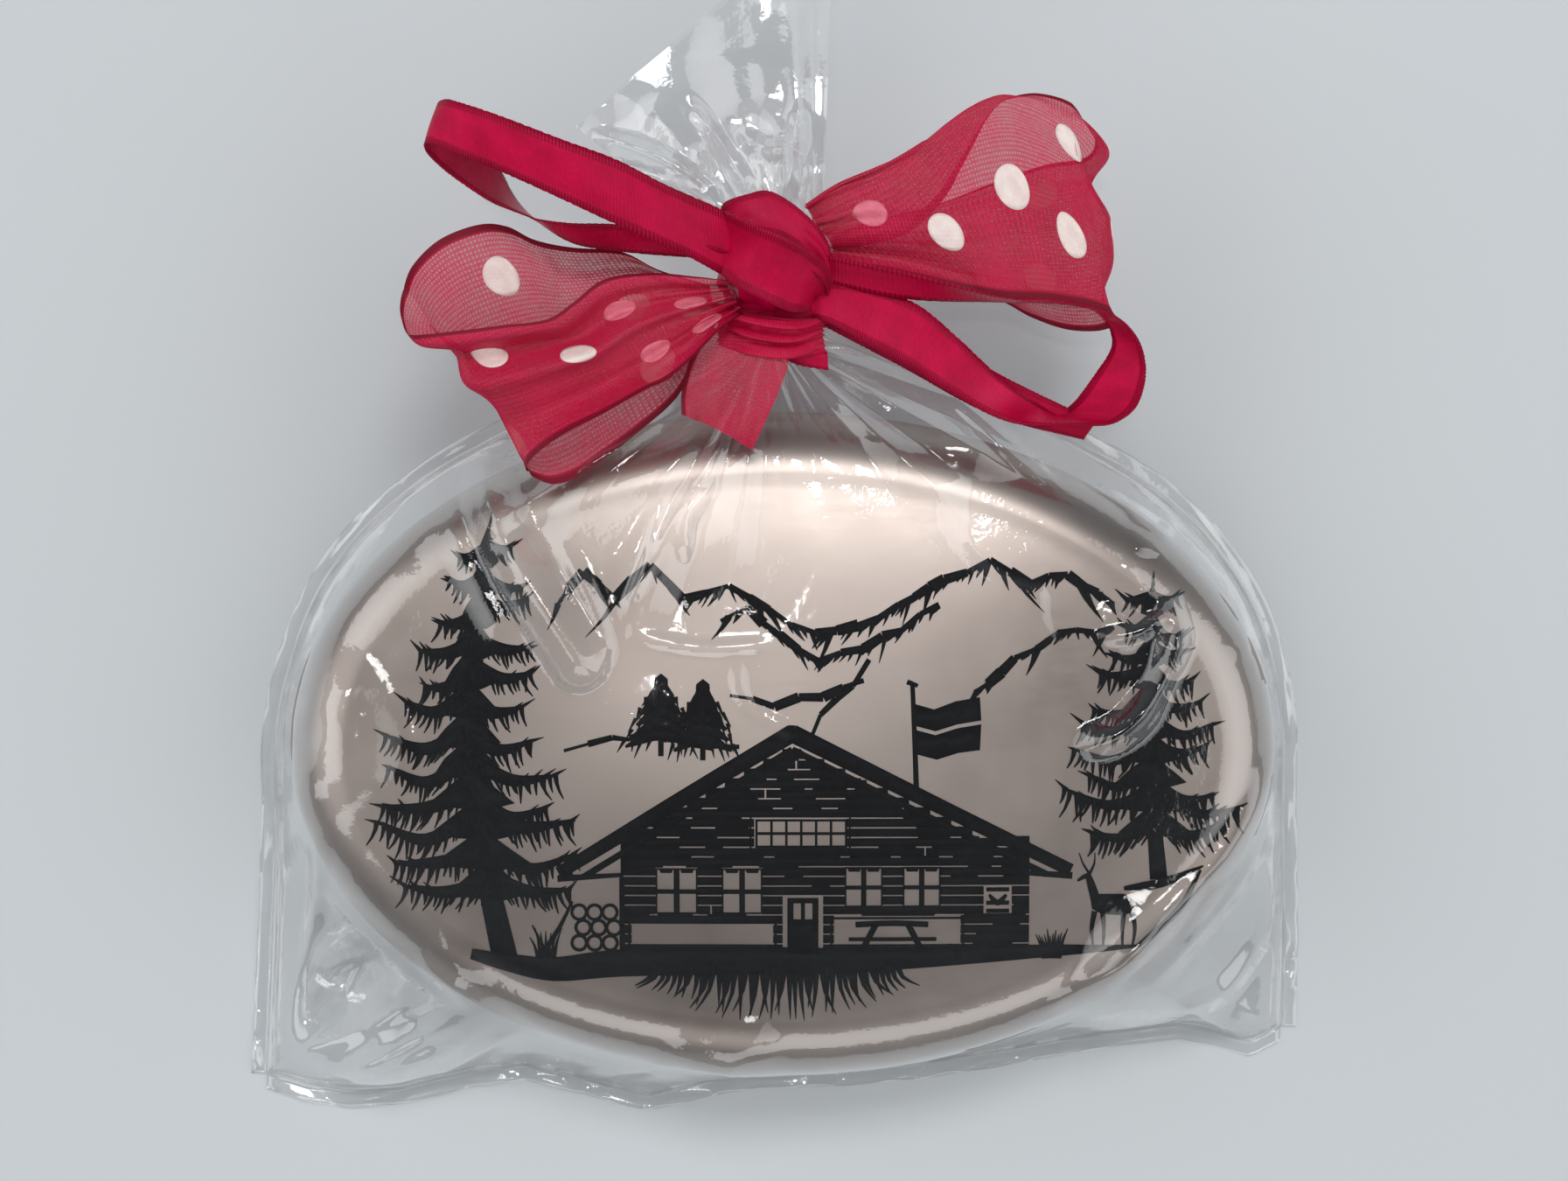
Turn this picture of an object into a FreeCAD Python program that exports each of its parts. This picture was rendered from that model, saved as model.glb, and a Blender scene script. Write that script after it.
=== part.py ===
"""Oval steel soap in a clear gift bag, tied with a bow of two ribbons.

The wrapped soap lies on its back. +X is to the right, +Y goes from the fold of the bag towards the
tied neck, +Z is up. The origin is on the underside of the bag, below the middle of the oval soap.
Lengths are millimetres, angles are degrees.
"""
import FreeCAD, Part
import Sketcher
import math
import os

V = FreeCAD.Vector

SIZES = {
    # The steel soap: two stamped oval shells that meet at the waist.
    "soap_length": 75.0,
    "soap_width": 50.5,
    "soap_height": 17.4,
    "soap_wall": 0.8,
    "crown_rise": 2.4,
    "shoulder_round": 5.4,
    # The film bag. The drawn skin is thicker than real film.
    "film_skin": 0.25,
    "film_clear": 0.9,
    "seat_clear": 0.15,
    "weld_width": 1.2,
    "fold_depth": 1.2,
    "neck_gap": 5.75,
    "neck_length": 8.0,
    "neck_drop": 6.4,
    "neck_shift": -1.0,
    "mouth_half_width": 4.0,
    "mouth_half_depth": 2.4,
    "waist_radius": 2.3,
    "crown_skin": 0.5,
    # The two ribbons.
    "organza_width": 16.0,
    "organza_skin": 0.3,
    "gather_width": 5.0,
    "satin_width": 3.0,
    "satin_skin": 0.35,
    "turn_skin": 1.9,
    "organza_turn_share": 0.55,
    "ribbon_clear": 0.15,
    # The knot in front of the neck.
    "knot_half_width": 4.7,
    "knot_half_length": 5.2,
    "knot_half_depth": 3.4,
    "knot_rise": 2.0,
    # The four loops of the bow: length from the knot's middle, and the radius at the tip.
    "organza_left_reach": 24.0,
    "organza_left_tip": 2.2,
    "organza_right_reach": 24.5,
    "organza_right_tip": 2.4,
    "satin_left_reach": 27.5,
    "satin_left_tip": 2.0,
    "satin_right_reach": 27.0,
    "satin_right_tip": 4.2,
    # The cut ends.
    "organza_tail_reach": 13.5,
    "satin_tail_reach": 27.5,
    "satin_stub_reach": 8.4,
}
# The neck starts beyond the soap's rim and lies below its top, and the knot lies on the turns.
FOLLOWING = {
    "neck_start": "=soap_width / 2 + neck_gap",
    "neck_end": "=neck_start + neck_length",
    "neck_height": "=soap_height - neck_drop",
    "knot_lift": "=waist_radius + turn_skin + knot_rise",
}

doc = FreeCAD.newDocument("gift_soap")
sheet = doc.addObject("Spreadsheet::Sheet", "Sizes")
for row, (alias, value) in enumerate({**SIZES, **FOLLOWING}.items(), start=1):
    sheet.set("A%d" % row, alias)
    sheet.set("B%d" % row, str(value))
    sheet.setAlias("B%d" % row, alias)
doc.recompute()
parts = []


def size(alias):
    """The value of one driving dimension."""
    return float(sheet.get(alias))


def add(kind, name, **bound):
    """A document object with its properties bound to the sheet."""
    item = doc.addObject(kind, name)
    for key, text in bound.items():
        item.setExpression(key, text)
    return item


def sub_part(item, label, placement=None):
    """Marks an object as a sub-part: its label names its file."""
    item.Label = label
    if placement is not None:
        item.Placement = placement
    parts.append(item)
    return item


def cut(name, base, tool):
    item = doc.addObject("Part::Cut", name)
    item.Base = base
    item.Tool = tool
    return item


def upright(item, base):
    """Makes an extrusion of a flat outline into a solid along +Z."""
    item.Base = base
    item.DirMode = "Custom"
    item.Dir = V(0, 0, 1)
    item.Solid = True
    return item


# ---------------------------------------------------------------- steel soap
SOAP_MIDDLE = "Sizes.film_skin + Sizes.seat_clear + Sizes.soap_height / 2"


def half_soap(name, inset):
    """The upper half of an oval pebble: an oval block under a wide dome, its shoulder rounded."""
    half = "(Sizes.soap_height / 2 - %s)" % inset
    reach = "sqrt(1 - pow(1 - Sizes.crown_rise / %s; 2))" % half
    oval = add("Part::Ellipse", name + "_oval",
               MajorRadius="Sizes.soap_length / 2 - %s" % inset,
               MinorRadius="Sizes.soap_width / 2 - %s" % inset)
    block = upright(add("Part::Extrusion", name + "_block", LengthFwd=half), oval)
    dome = add("Part::Ellipsoid", name + "_dome", Radius1=half,
               Radius2="(Sizes.soap_length / 2 - %s) / %s" % (inset, reach),
               Radius3="(Sizes.soap_width / 2 - %s) / %s" % (inset, reach))
    trimmed = doc.addObject("Part::Common", name + "_trimmed")
    trimmed.Base = block
    trimmed.Tool = dome
    doc.recompute()
    block_height = block.LengthFwd.Value
    brow = block_height - size("crown_rise")
    rim = [number for number, edge in enumerate(trimmed.Shape.Edges, start=1)
           if edge.Length > size("soap_width") and abs(edge.CenterOfMass.z - brow) < brow / 10]
    rounding = doc.addObject("Part::Fillet", name)
    rounding.Base = trimmed
    radius = size("shoulder_round") - (size("soap_height") / 2 - block_height)
    rounding.Edges = [(number, radius, radius) for number in rim]
    return rounding


outside = half_soap("soap_outside", "0")
inside = half_soap("soap_inside", "Sizes.soap_wall")
upper_shell = sub_part(cut("upper_shell", outside, inside), "soap_upper_shell")
upper_shell.setExpression("Placement.Base.z", SOAP_MIDDLE)
mirrored = doc.addObject("Part::Mirroring", "lower_shell")
mirrored.Source = upper_shell
mirrored.Normal = V(0, 0, 1)
mirrored.setExpression("Base.z", SOAP_MIDDLE)
sub_part(mirrored, "soap_lower_shell")
doc.recompute()

# ---------------------------------------------------------------- film bag
# The outline of the bag round a soap of the size given, from the fold up each side to the neck, and
# how high the side welds lie: on the table beside the soap, then rising to the neck.
LAID_OUT_FOR = V(75.0, 50.5, 17.4)
SIDE_LEFT = [(-41.3, -27.0, 0.0), (-41.0, -20.0, 0.0), (-40.4, -8.0, 0.6), (-39.6, 3.0, 2.5),
             (-35.4, 13.0, 5.0), (-27.6, 20.3, 7.5), (-16.0, 26.2, 9.5)]
SIDE_RIGHT = [(39.8, -23.2, 0.0), (40.0, -17.0, 0.0), (39.8, -7.0, 0.6), (39.2, 3.5, 2.5),
              (35.6, 12.5, 5.0), (28.0, 20.0, 7.5), (15.0, 26.3, 9.5)]
FOLD_SAG = 2.6
BACK_FLAT, BACK_LIFTED = 2.0, 22.0
# The film is divided so finely that its flat facets keep clear of the steel's round shoulder.
FACET_LENGTH, FACET_RISE = 4.2, 0.97
GRID = 2 * math.ceil(max(size("soap_length") / FACET_LENGTH, size("soap_height") / FACET_RISE) / 2)
HEIGHT_STEPS = 80
RAIL_STEP = 0.01


def beside_soap(x, y, z):
    """A point of the outline, moved as far as the rim of the soap beside it is from where it was."""
    grown = V(size("soap_length"), size("soap_width"), size("soap_height")) - LAID_OUT_FOR
    out = min(max(2 * x / LAID_OUT_FOR.x, -1), 1)
    up = min(max(2 * y / LAID_OUT_FOR.y, -1), 1)
    return V(x + out * grown.x / 2, y + up * grown.y / 2, z * (1 + grown.z / LAID_OUT_FOR.z))


def smooth_rail(points, end):
    """A smooth curve through the points of a side weld to its end at the neck."""
    curve = Part.BSplineCurve()
    curve.interpolate([beside_soap(*point) for point in points] + [end])
    return curve


def neck_side(sign):
    """Where a side weld reaches the neck."""
    return V(size("neck_shift") + sign * size("mouth_half_width"), size("neck_start"),
             size("neck_height"))


left_rail = smooth_rail(SIDE_LEFT, neck_side(-1))
right_rail = smooth_rail(SIDE_RIGHT, neck_side(1))


def share_of(step):
    """Shares from 0 to 1 that lie closer together near both ends, where the film turns most."""
    return (1 - math.cos(math.pi * step / GRID)) / 2


def along(curve, share):
    """The point at a share of a curve's parameter range."""
    return curve.value(curve.FirstParameter + share * (curve.LastParameter - curve.FirstParameter))


def flat_bag(share, across):
    """A point of the bag's flat outline sheet: share runs from fold to neck, across from left to right."""
    start, end = along(left_rail, share), along(right_rail, share)
    point = start + (end - start) * across
    if share == 0:
        point.y -= FOLD_SAG * math.sin(math.pi * across)
    return point


def outline():
    """The closed outline of the bag as points in order."""
    shares = [share_of(step) for step in range(GRID + 1)]
    fold = [flat_bag(0, share) for share in shares]
    right = [along(right_rail, share) for share in shares]
    left = [along(left_rail, share) for share in shares]
    return fold[:-1] + right + left[::-1]


def edge_towards(x, y, around):
    """The point of the outline that lies in the same direction from the middle as (x, y)."""
    for first, second in zip(around, around[1:]):
        before = first.x * y - first.y * x
        after = second.x * y - second.y * x
        ahead = (first.x + second.x) * x + (first.y + second.y) * y
        if before * after <= 0 and ahead > 0 and before != after:
            return first + (second - first) * (before / (before - after))
    return around[0]


def crown_height(share):
    """Height of the domed face above the waist, at a share of the way from middle to rim."""
    half = size("soap_height") / 2
    brow = 1 - size("crown_rise") / half
    return half * math.sqrt(1 - (1 - brow * brow) * share * share)


def metal_height(share, depth):
    """The same with the shoulder rounded, where the rim is this deep from the middle."""
    radius = size("shoulder_round")
    rim_gap = (1 - share) * depth
    if rim_gap >= radius:
        return crown_height(share)
    return crown_height(1 - radius / depth) - radius + math.sqrt(radius ** 2 - (radius - rim_gap) ** 2)


def drape(x, y, edge, edge_height):
    """Height above the soap's waist of film pulled tight from a point on the bag's outline."""
    clear = size("film_clear")
    length, width = size("soap_length") / 2 + clear, size("soap_width") / 2 + clear
    here, far = math.hypot(x, y), math.hypot(edge.x, edge.y)
    rim = 1 / math.hypot(edge.x / far / length, edge.y / far / width)
    depth = 1 / math.hypot(rim * edge.x / far / length ** 2, rim * edge.y / far / width ** 2)
    heights = [metal_height(step / HEIGHT_STEPS, depth) + clear for step in range(HEIGHT_STEPS + 1)]
    slope, touch = max(((height - edge_height) / (far - rim * step / HEIGHT_STEPS), step)
                       for step, height in enumerate(heights))
    if here <= rim * touch / HEIGHT_STEPS:
        return metal_height(here / rim, depth) + clear
    return edge_height + slope * (far - here)


def eased(value, start, end):
    """0 up to start, 1 from end on, and smooth between them."""
    share = min(max((value - start) / (end - start), 0), 1)
    return share * share * (3 - 2 * share)


def film_wall(facing):
    """The grid of points of one wall's side that faces the soap: facing is 1 above it, -1 below it."""
    skin = size("film_skin")
    waist = skin + size("seat_clear") + size("soap_height") / 2
    around = outline()
    rows = []
    for row in range(GRID + 1):
        points = []
        for column in range(GRID + 1):
            share, across = share_of(row), share_of(column)
            point = flat_bag(share, across)
            bulge = size("mouth_half_depth") * math.sin(math.pi * across)
            if row == GRID:
                point.z += facing * bulge
            elif 0 < row and 0 < column < GRID:
                rim = edge_towards(point.x, point.y, around)
                lift = bulge if rim.y > size("neck_start") - size("weld_width") else 0
                height = drape(point.x, point.y, rim, facing * (rim.z - waist) + lift)
                point.z = max(waist + facing * height, skin)
                if facing < 0:
                    point.z = skin + (point.z - skin) * eased(point.y, BACK_FLAT, BACK_LIFTED)
            points.append(point)
        rows.append(points)
    return rows


def steepness(rows, row, column):
    """How much longer a vertical step through the film is than its skin."""
    if row in (0, len(rows) - 1) or column in (0, len(rows[0]) - 1):
        return 1
    across = rows[row][column + 1] - rows[row][column - 1]
    up = rows[row + 1][column] - rows[row - 1][column]
    normal = across.cross(up)
    return min(normal.Length / abs(normal.z), 3)


def triangle(first, second, third):
    return Part.Face(Part.makePolygon([first, second, third, first]))


def quad(first, second, third, fourth):
    """Two flat triangles, because the four corners need not lie in one plane."""
    return [triangle(first, second, third), triangle(first, third, fourth)]


def sheet_solid(low, high):
    """A closed solid between two grids of points."""
    faces = []
    rows, columns = len(low) - 1, len(low[0]) - 1
    for row in range(rows):
        for column in range(columns):
            for grid in (low, high):
                faces += quad(grid[row][column], grid[row][column + 1],
                              grid[row + 1][column + 1], grid[row + 1][column])
        for column in (0, columns):
            faces += quad(low[row][column], low[row + 1][column],
                          high[row + 1][column], high[row][column])
    for column in range(columns):
        for row in (0, rows):
            faces += quad(low[row][column], low[row][column + 1],
                          high[row][column + 1], high[row][column])
    return Part.makeSolid(Part.makeShell(faces))


def raised(rows, heights):
    """A copy of a grid of points, each moved up by its own height."""
    return [[point + V(0, 0, height) for point, height in zip(row, row_heights)]
            for row, row_heights in zip(rows, heights)]


def even(rows, height):
    return [[height] * len(row) for row in rows]


def made_by_hand(label, shape):
    item = doc.addObject("Part::Feature", label)
    item.Shape = shape
    return sub_part(item, label, FreeCAD.Placement())


def film_panel(label, facing):
    """One wall of the bag. Its two edges meet the other wall's in the welds, and its skin grows away
    from the soap."""
    skin = size("film_skin")
    rim = (0, GRID)
    near = [[point + V(0, 0, skin) if row in rim or column in rim else point
             for column, point in enumerate(points)] for row, points in enumerate(film_wall(facing))]
    far = [[V(point.x, point.y, max(point.z + facing * skin * steepness(near, row, column), 0))
            for column, point in enumerate(points)] for row, points in enumerate(near)]
    made_by_hand(label, sheet_solid(near, far))


film_panel("bag_front_panel", 1)
film_panel("bag_back_panel", -1)
double_skin = 2 * size("film_skin")


def weld(label, rail, sign):
    """The flat strip where both walls are welded together along one side."""
    rows = []
    for step in range(GRID + 1):
        share = share_of(step)
        point = along(rail, share)
        ahead = along(rail, min(share + RAIL_STEP, 1)) - along(rail, max(share - RAIL_STEP, 0))
        outward = V(ahead.y, -ahead.x, 0).normalize() * sign
        rows.append([point, point + outward * size("weld_width")])
    made_by_hand(label, sheet_solid(rows, raised(rows, even(rows, double_skin))))


weld("bag_weld_left", left_rail, -1)
weld("bag_weld_right", right_rail, 1)
fold_rows = [[flat_bag(0, share_of(step)) - V(0, depth, 0) for step in range(GRID + 1)]
             for depth in (size("fold_depth"), 0)]
made_by_hand("bag_bottom_fold", sheet_solid(fold_rows, raised(fold_rows, even(fold_rows, double_skin))))
doc.recompute()

# ---------------------------------------------------------------- neck and crown of the bag
TO_NECK = FreeCAD.Rotation(V(1, 0, 0), -90)


def ring_curve(name, place, half_width, half_depth):
    """An oval across the neck, at a place along it."""
    item = add("Part::Ellipse", name, MajorRadius=half_width, MinorRadius=half_depth)
    item.Placement = FreeCAD.Placement(V(0, 0, 0), TO_NECK)
    item.setExpression("Placement.Base.x", "Sizes.neck_shift")
    item.setExpression("Placement.Base.y", place)
    item.setExpression("Placement.Base.z", "Sizes.neck_height + Sizes.film_skin")
    return item


waist_start = "(Sizes.neck_start * 2 + Sizes.neck_end) / 3"
waist_end = "(Sizes.neck_start + Sizes.neck_end * 2) / 3"
mouth_depth = "Sizes.mouth_half_depth + Sizes.film_skin"
# An ellipse is drawn a hair shallower than it is wide.
NEARLY_ROUND = 0.999
WAIST_DEPTH = "Sizes.waist_radius * %s" % NEARLY_ROUND
neck = doc.addObject("Part::Loft", "bag_neck")
neck.Sections = [
    ring_curve("neck_mouth", "Sizes.neck_start", "Sizes.mouth_half_width", mouth_depth),
    ring_curve("neck_waist_start", waist_start, "Sizes.waist_radius", WAIST_DEPTH),
    ring_curve("neck_waist_end", waist_end, "Sizes.waist_radius", WAIST_DEPTH),
    ring_curve("neck_top", "Sizes.neck_end", "Sizes.mouth_half_width", mouth_depth)]
neck.Solid = True
neck.Ruled = True
sub_part(neck, "bag_neck")

# The bag's open mouth stands out of the tie as a fan: how far its two corners lie from the middle of
# the neck's end, how far they droop, and its pleats.
CROWN_LEFT, CROWN_TIP = V(-15.0, 8.5, 0), V(5.0, 25.5, 0)
CROWN_DROOP = 3.0
PLEAT_DEPTH = 1.1
PLEATS = 3
crown_rows = []
for step in range(GRID // 2 + 1):
    out = step / (GRID // 2)
    points = []
    for column in range(GRID + 1):
        across = column / GRID
        middle = V(size("neck_shift"), size("neck_end"), 0)
        near = middle + V((2 * across - 1) * size("mouth_half_width"), 0, 0)
        far = middle + CROWN_LEFT * (1 - across) + CROWN_TIP * across
        point = near + (far - near) * out
        pleat = PLEAT_DEPTH * math.cos(2 * math.pi * PLEATS * across) * (1 - out / 2)
        point.z = size("neck_height") - CROWN_DROOP * out + pleat
        points.append(point)
    crown_rows.append(points)
made_by_hand("bag_crown", sheet_solid(crown_rows, raised(crown_rows, even(crown_rows, size("crown_skin")))))

# ---------------------------------------------------------------- knot and turns round the neck
NECK_MIDDLE = "Sizes.neck_height + Sizes.film_skin"
TURN_RADIUS = "Sizes.waist_radius + Sizes.turn_skin"


def turn(label, start, length):
    """A ribbon wound round the waist of the neck."""
    outer = add("Part::Cylinder", label + "_outer", Radius=TURN_RADIUS, Height=length)
    inner = add("Part::Cylinder", label + "_inner", Height=length,
                Radius="Sizes.waist_radius + Sizes.ribbon_clear")
    for item in (outer, inner):
        item.Placement = FreeCAD.Placement(V(0, 0, 0), TO_NECK)
        item.setExpression("Placement.Base.x", "Sizes.neck_shift")
        item.setExpression("Placement.Base.y", start)
        item.setExpression("Placement.Base.z", NECK_MIDDLE)
    sub_part(cut(label, outer, inner), label)


organza_turn_length = "Sizes.neck_length / 3 * Sizes.organza_turn_share"
turn("organza_turn", waist_start, organza_turn_length)
turn("satin_turn", waist_start + " + " + organza_turn_length,
     "Sizes.neck_length / 3 * (1 - Sizes.organza_turn_share)")
KNOT_X = "Sizes.neck_shift"
KNOT_Y = "(Sizes.neck_start + Sizes.neck_end) / 2"
KNOT_Z = NECK_MIDDLE + " + Sizes.knot_lift"


def knot_body(name, extra):
    item = add("Part::Ellipsoid", name,
               Radius1="Sizes.knot_half_depth + %s" % extra,
               Radius2="Sizes.knot_half_width + %s" % extra,
               Radius3="Sizes.knot_half_length + %s" % extra)
    item.setExpression("Placement.Base.x", KNOT_X)
    item.setExpression("Placement.Base.y", KNOT_Y)
    item.setExpression("Placement.Base.z", KNOT_Z)
    return item


neck_core = add("Part::Cylinder", "neck_core", Radius=TURN_RADIUS,
                Height="Sizes.neck_end - Sizes.neck_start + 2 * Sizes.knot_half_length")
neck_core.Placement = FreeCAD.Placement(V(0, 0, 0), TO_NECK)
neck_core.setExpression("Placement.Base.x", KNOT_X)
neck_core.setExpression("Placement.Base.y", "Sizes.neck_start - Sizes.knot_half_length")
neck_core.setExpression("Placement.Base.z", NECK_MIDDLE)
sub_part(cut("satin_knot", knot_body("knot_lump", "0"), neck_core), "satin_knot")
doc.recompute()
knot_middle = V(size("neck_shift"), (size("neck_start") + size("neck_end")) / 2,
                size("neck_height") + size("film_skin") + size("knot_lift"))

# ---------------------------------------------------------------- loops of the bow
# Each loop: its ribbon, how far above the knot's middle it starts, the way it points, and the way
# its two strands lie apart.
LOOPS = {
    "organza_loop_left": ("organza", -1.3, (-21.7, -8.2, 3.6), (0.0, -0.1, 1.0)),
    "organza_loop_right": ("organza", -1.3, (24.0, 4.5, 2.6), (0.0, -0.3, 0.95)),
    "satin_loop_left": ("satin", 1.5, (-24.5, 8.5, 7.5), (0.2, 0.5, 0.84)),
    "satin_loop_right": ("satin", 1.5, (27.2, -7.0, 1.0), (0.22, 0.85, 0.45)),
}


def pointing(lift, way, apart):
    """The place of a ribbon that leaves the knot: its +Y runs away from the knot, +Z is across it."""
    rotation = FreeCAD.Rotation(V(), V(*way), V(*apart), "YZX")
    return FreeCAD.Placement(knot_middle + V(0, 0, lift), rotation)


def teardrop(sketch, reach, radius, apex):
    """Two straight strands from an apex, joined by a round tip. Returns its strand and its arc."""
    lean = math.asin(radius / (reach - apex))
    touch = V(reach - radius * math.sin(lean), radius * math.cos(lean), 0)
    circle = Part.Circle(V(reach, 0, 0), V(0, 0, 1), radius)
    strand = sketch.addGeometry(Part.LineSegment(V(apex, 0, 0), touch), False)
    tip = sketch.addGeometry(Part.ArcOfCircle(circle, -math.pi / 2 - lean, math.pi / 2 + lean), False)
    back = sketch.addGeometry(Part.LineSegment(V(touch.x, -touch.y, 0), V(apex, 0, 0)), False)
    sketch.addConstraint([
        Sketcher.Constraint("Tangent", strand, 2, tip, 2),
        Sketcher.Constraint("Tangent", back, 1, tip, 1),
        Sketcher.Constraint("Coincident", strand, 1, back, 2)])
    return strand, tip


def bind(sketch, constraint, alias_text):
    """Adds a dimension to a sketch and ties it to the sheet."""
    number = sketch.addConstraint(constraint)
    sketch.setExpression("Constraints[%d]" % number, alias_text)


def loop_band(label, ribbon):
    """A ribbon bent into a teardrop loop, as wide as the ribbon."""
    key = label.replace("_loop", "")
    body = doc.addObject("PartDesign::Body", label + "_band")
    sketch = body.newObject("Sketcher::SketchObject", label + "_outline")
    plane = next(item for item in body.Origin.OriginFeatures if item.Role == "YZ_Plane")
    sketch.AttachmentSupport = (plane, "")
    sketch.MapMode = "FlatFace"
    radius, band = size(key + "_tip"), size(ribbon + "_skin")
    middle = size(key + "_reach") - radius
    strand, tip = teardrop(sketch, middle, radius, 0)
    sketch.addConstraint(Sketcher.Constraint("Coincident", strand, 1, -1, 1))
    sketch.addConstraint(Sketcher.Constraint("PointOnObject", tip, 3, -1))
    bind(sketch, Sketcher.Constraint("DistanceX", -1, 1, tip, 3, middle),
         "Sizes.%s_reach - Sizes.%s_tip" % (key, key))
    bind(sketch, Sketcher.Constraint("Radius", tip, radius), "Sizes.%s_tip" % key)
    inner_strand, inner_tip = teardrop(sketch, middle, radius - band, middle * band / radius)
    sketch.addConstraint(Sketcher.Constraint("Coincident", inner_tip, 3, tip, 3))
    sketch.addConstraint(Sketcher.Constraint("PointOnObject", inner_strand, 1, -1))
    sketch.addConstraint(Sketcher.Constraint("Parallel", inner_strand, strand))
    bind(sketch, Sketcher.Constraint("Radius", inner_tip, radius - band),
         "Sizes.%s_tip - Sizes.%s_skin" % (key, ribbon))
    pad = body.newObject("PartDesign::Pad", label + "_pad")
    pad.Profile = sketch
    pad.SideType = "Symmetric"
    pad.setExpression("Length", "Sizes.%s_width" % ribbon)
    return body


def fan(name, reach, end_width, half_depth):
    """A flat block that spreads from the gathered width at the knot to an end width."""
    return add("Part::Wedge", name, Ymin="0", Ymax=reach,
               Xmin="-Sizes.gather_width / 2", Xmax="Sizes.gather_width / 2",
               X2min="-%s / 2" % end_width, X2max="%s / 2" % end_width,
               Zmin="-(%s)" % half_depth, Zmax=half_depth,
               Z2min="-(%s)" % half_depth, Z2max=half_depth)


def clear_of_knot(label, item):
    """Ends a ribbon just short of the knot that holds it."""
    room = knot_body(label + "_room", "Sizes.ribbon_clear")
    sub_part(cut(label, item, room), label)


for label, (ribbon, lift, way, apart) in LOOPS.items():
    loop = loop_band(label, ribbon)
    if ribbon == "organza":
        key = label.replace("_loop", "")
        gathered = doc.addObject("Part::Common", label + "_gathered")
        gathered.Base = loop
        gathered.Tool = fan(label + "_fan", "Sizes.%s_reach + Sizes.organza_skin" % key,
                            "Sizes.organza_width", "Sizes.%s_tip + Sizes.organza_skin" % key)
        loop = gathered
    loop.Placement = pointing(lift, way, apart)
    clear_of_knot(label, loop)

# ---------------------------------------------------------------- cut ends of the ribbons
FOLDED_SHARE = "0.45"
organza_end = fan("organza_end", "Sizes.organza_tail_reach", "(%s * Sizes.organza_width)" % FOLDED_SHARE,
                  "Sizes.organza_skin / 2")
organza_end.Placement = pointing(-0.4, (-2.0, -12.5, 1.1), (0, 0, 1))
clear_of_knot("organza_tail", organza_end)


def satin_end(label, reach, lift, way):
    """A straight cut end of the satin ribbon."""
    strip = add("Part::Box", label + "_strip", Length="Sizes.satin_width", Width=reach,
                Height="Sizes.satin_skin")
    place = pointing(lift, way, (0, 0, 1))
    place.Base = place.multVec(V(-size("satin_width") / 2, 0, 0))
    strip.Placement = place
    clear_of_knot(label, strip)


satin_end("satin_tail_right", "Sizes.satin_tail_reach", -0.9, (23.3, -12.4, 0.0))
satin_end("satin_tail_front", "Sizes.satin_stub_reach", -1.5, (4.1, -7.2, 0.0))
doc.recompute()

# ---------------------------------------------------------------- export
for item in doc.Objects:
    if "Invalid" in item.State or "Error" in item.State:
        raise RuntimeError("%s failed: %s" % (item.Name, item.State))
for item in parts:
    if item.Shape.isNull() or not item.Shape.isValid():
        raise RuntimeError("%s has no valid shape" % item.Label)
os.makedirs("parts", exist_ok=True)
for item in parts:
    item.Shape.exportStep("parts/%s.step" % item.Label)
    box = item.Shape.optimalBoundingBox(False)
    print("%-20s %8.1f mm3 %2d solid  x %6.1f..%5.1f  y %6.1f..%5.1f  z %5.1f..%5.1f" % (
        item.Label, item.Shape.Volume, len(item.Shape.Solids), box.XMin, box.XMax,
        box.YMin, box.YMax, box.ZMin, box.ZMax))
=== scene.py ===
"""Looks of a gift-wrapped oval steel soap: printed satin steel in a tied, clear film bag with a bow.

Lengths are millimetres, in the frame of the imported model: +X to the right of the printed picture,
+Y towards the tied neck, +Z up. A piece is scaled to metres when it is finished. Only the studio's
lengths are metres.
"""

import logging
import math
import random
from collections.abc import Callable, Sequence
from dataclasses import dataclass, field
from enum import Enum

import bmesh
import bpy
import numpy as np
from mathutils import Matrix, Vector, noise


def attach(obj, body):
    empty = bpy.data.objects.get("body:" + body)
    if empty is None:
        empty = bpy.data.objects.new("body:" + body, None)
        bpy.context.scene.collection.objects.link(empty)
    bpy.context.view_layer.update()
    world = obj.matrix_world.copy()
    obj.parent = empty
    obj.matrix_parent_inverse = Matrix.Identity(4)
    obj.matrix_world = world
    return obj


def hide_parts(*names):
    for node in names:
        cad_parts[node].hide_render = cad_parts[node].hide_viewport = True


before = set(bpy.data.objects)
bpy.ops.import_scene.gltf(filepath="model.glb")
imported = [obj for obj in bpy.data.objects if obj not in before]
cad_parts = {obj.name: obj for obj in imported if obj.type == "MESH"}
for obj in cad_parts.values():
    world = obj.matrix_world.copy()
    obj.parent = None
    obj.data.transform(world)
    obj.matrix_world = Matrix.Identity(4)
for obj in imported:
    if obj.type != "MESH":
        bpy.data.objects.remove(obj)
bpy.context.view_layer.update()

MM = 0.001
BODY = "root"
LOG = logging.getLogger("gift_soap")

Point = tuple[float, float, float]
Flat = tuple[float, float]
Colour = tuple[float, float, float, float]
Mesh = bmesh.types.BMesh
Material = bpy.types.Material
Node = bpy.types.Node
Socket = bpy.types.NodeSocket
Piece = bpy.types.Object

# Stock widths of the two ribbons, and how thick their cloth and the printed dots are.
ORGANZA_WIDTH, SATIN_WIDTH = 16.0, 3.0
RIBBON_CLOTH, PRINT_LAYER = 0.12, 0.07
# How far apart the sheer ribbon's threads are.
ORGANZA_WEAVE = {"Warp Pitch": 0.3, "Weft Pitch": 0.26}
# Middle of the tied neck, across and up.
NECK_X, NECK_Z = -1.0, 11.25


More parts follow.
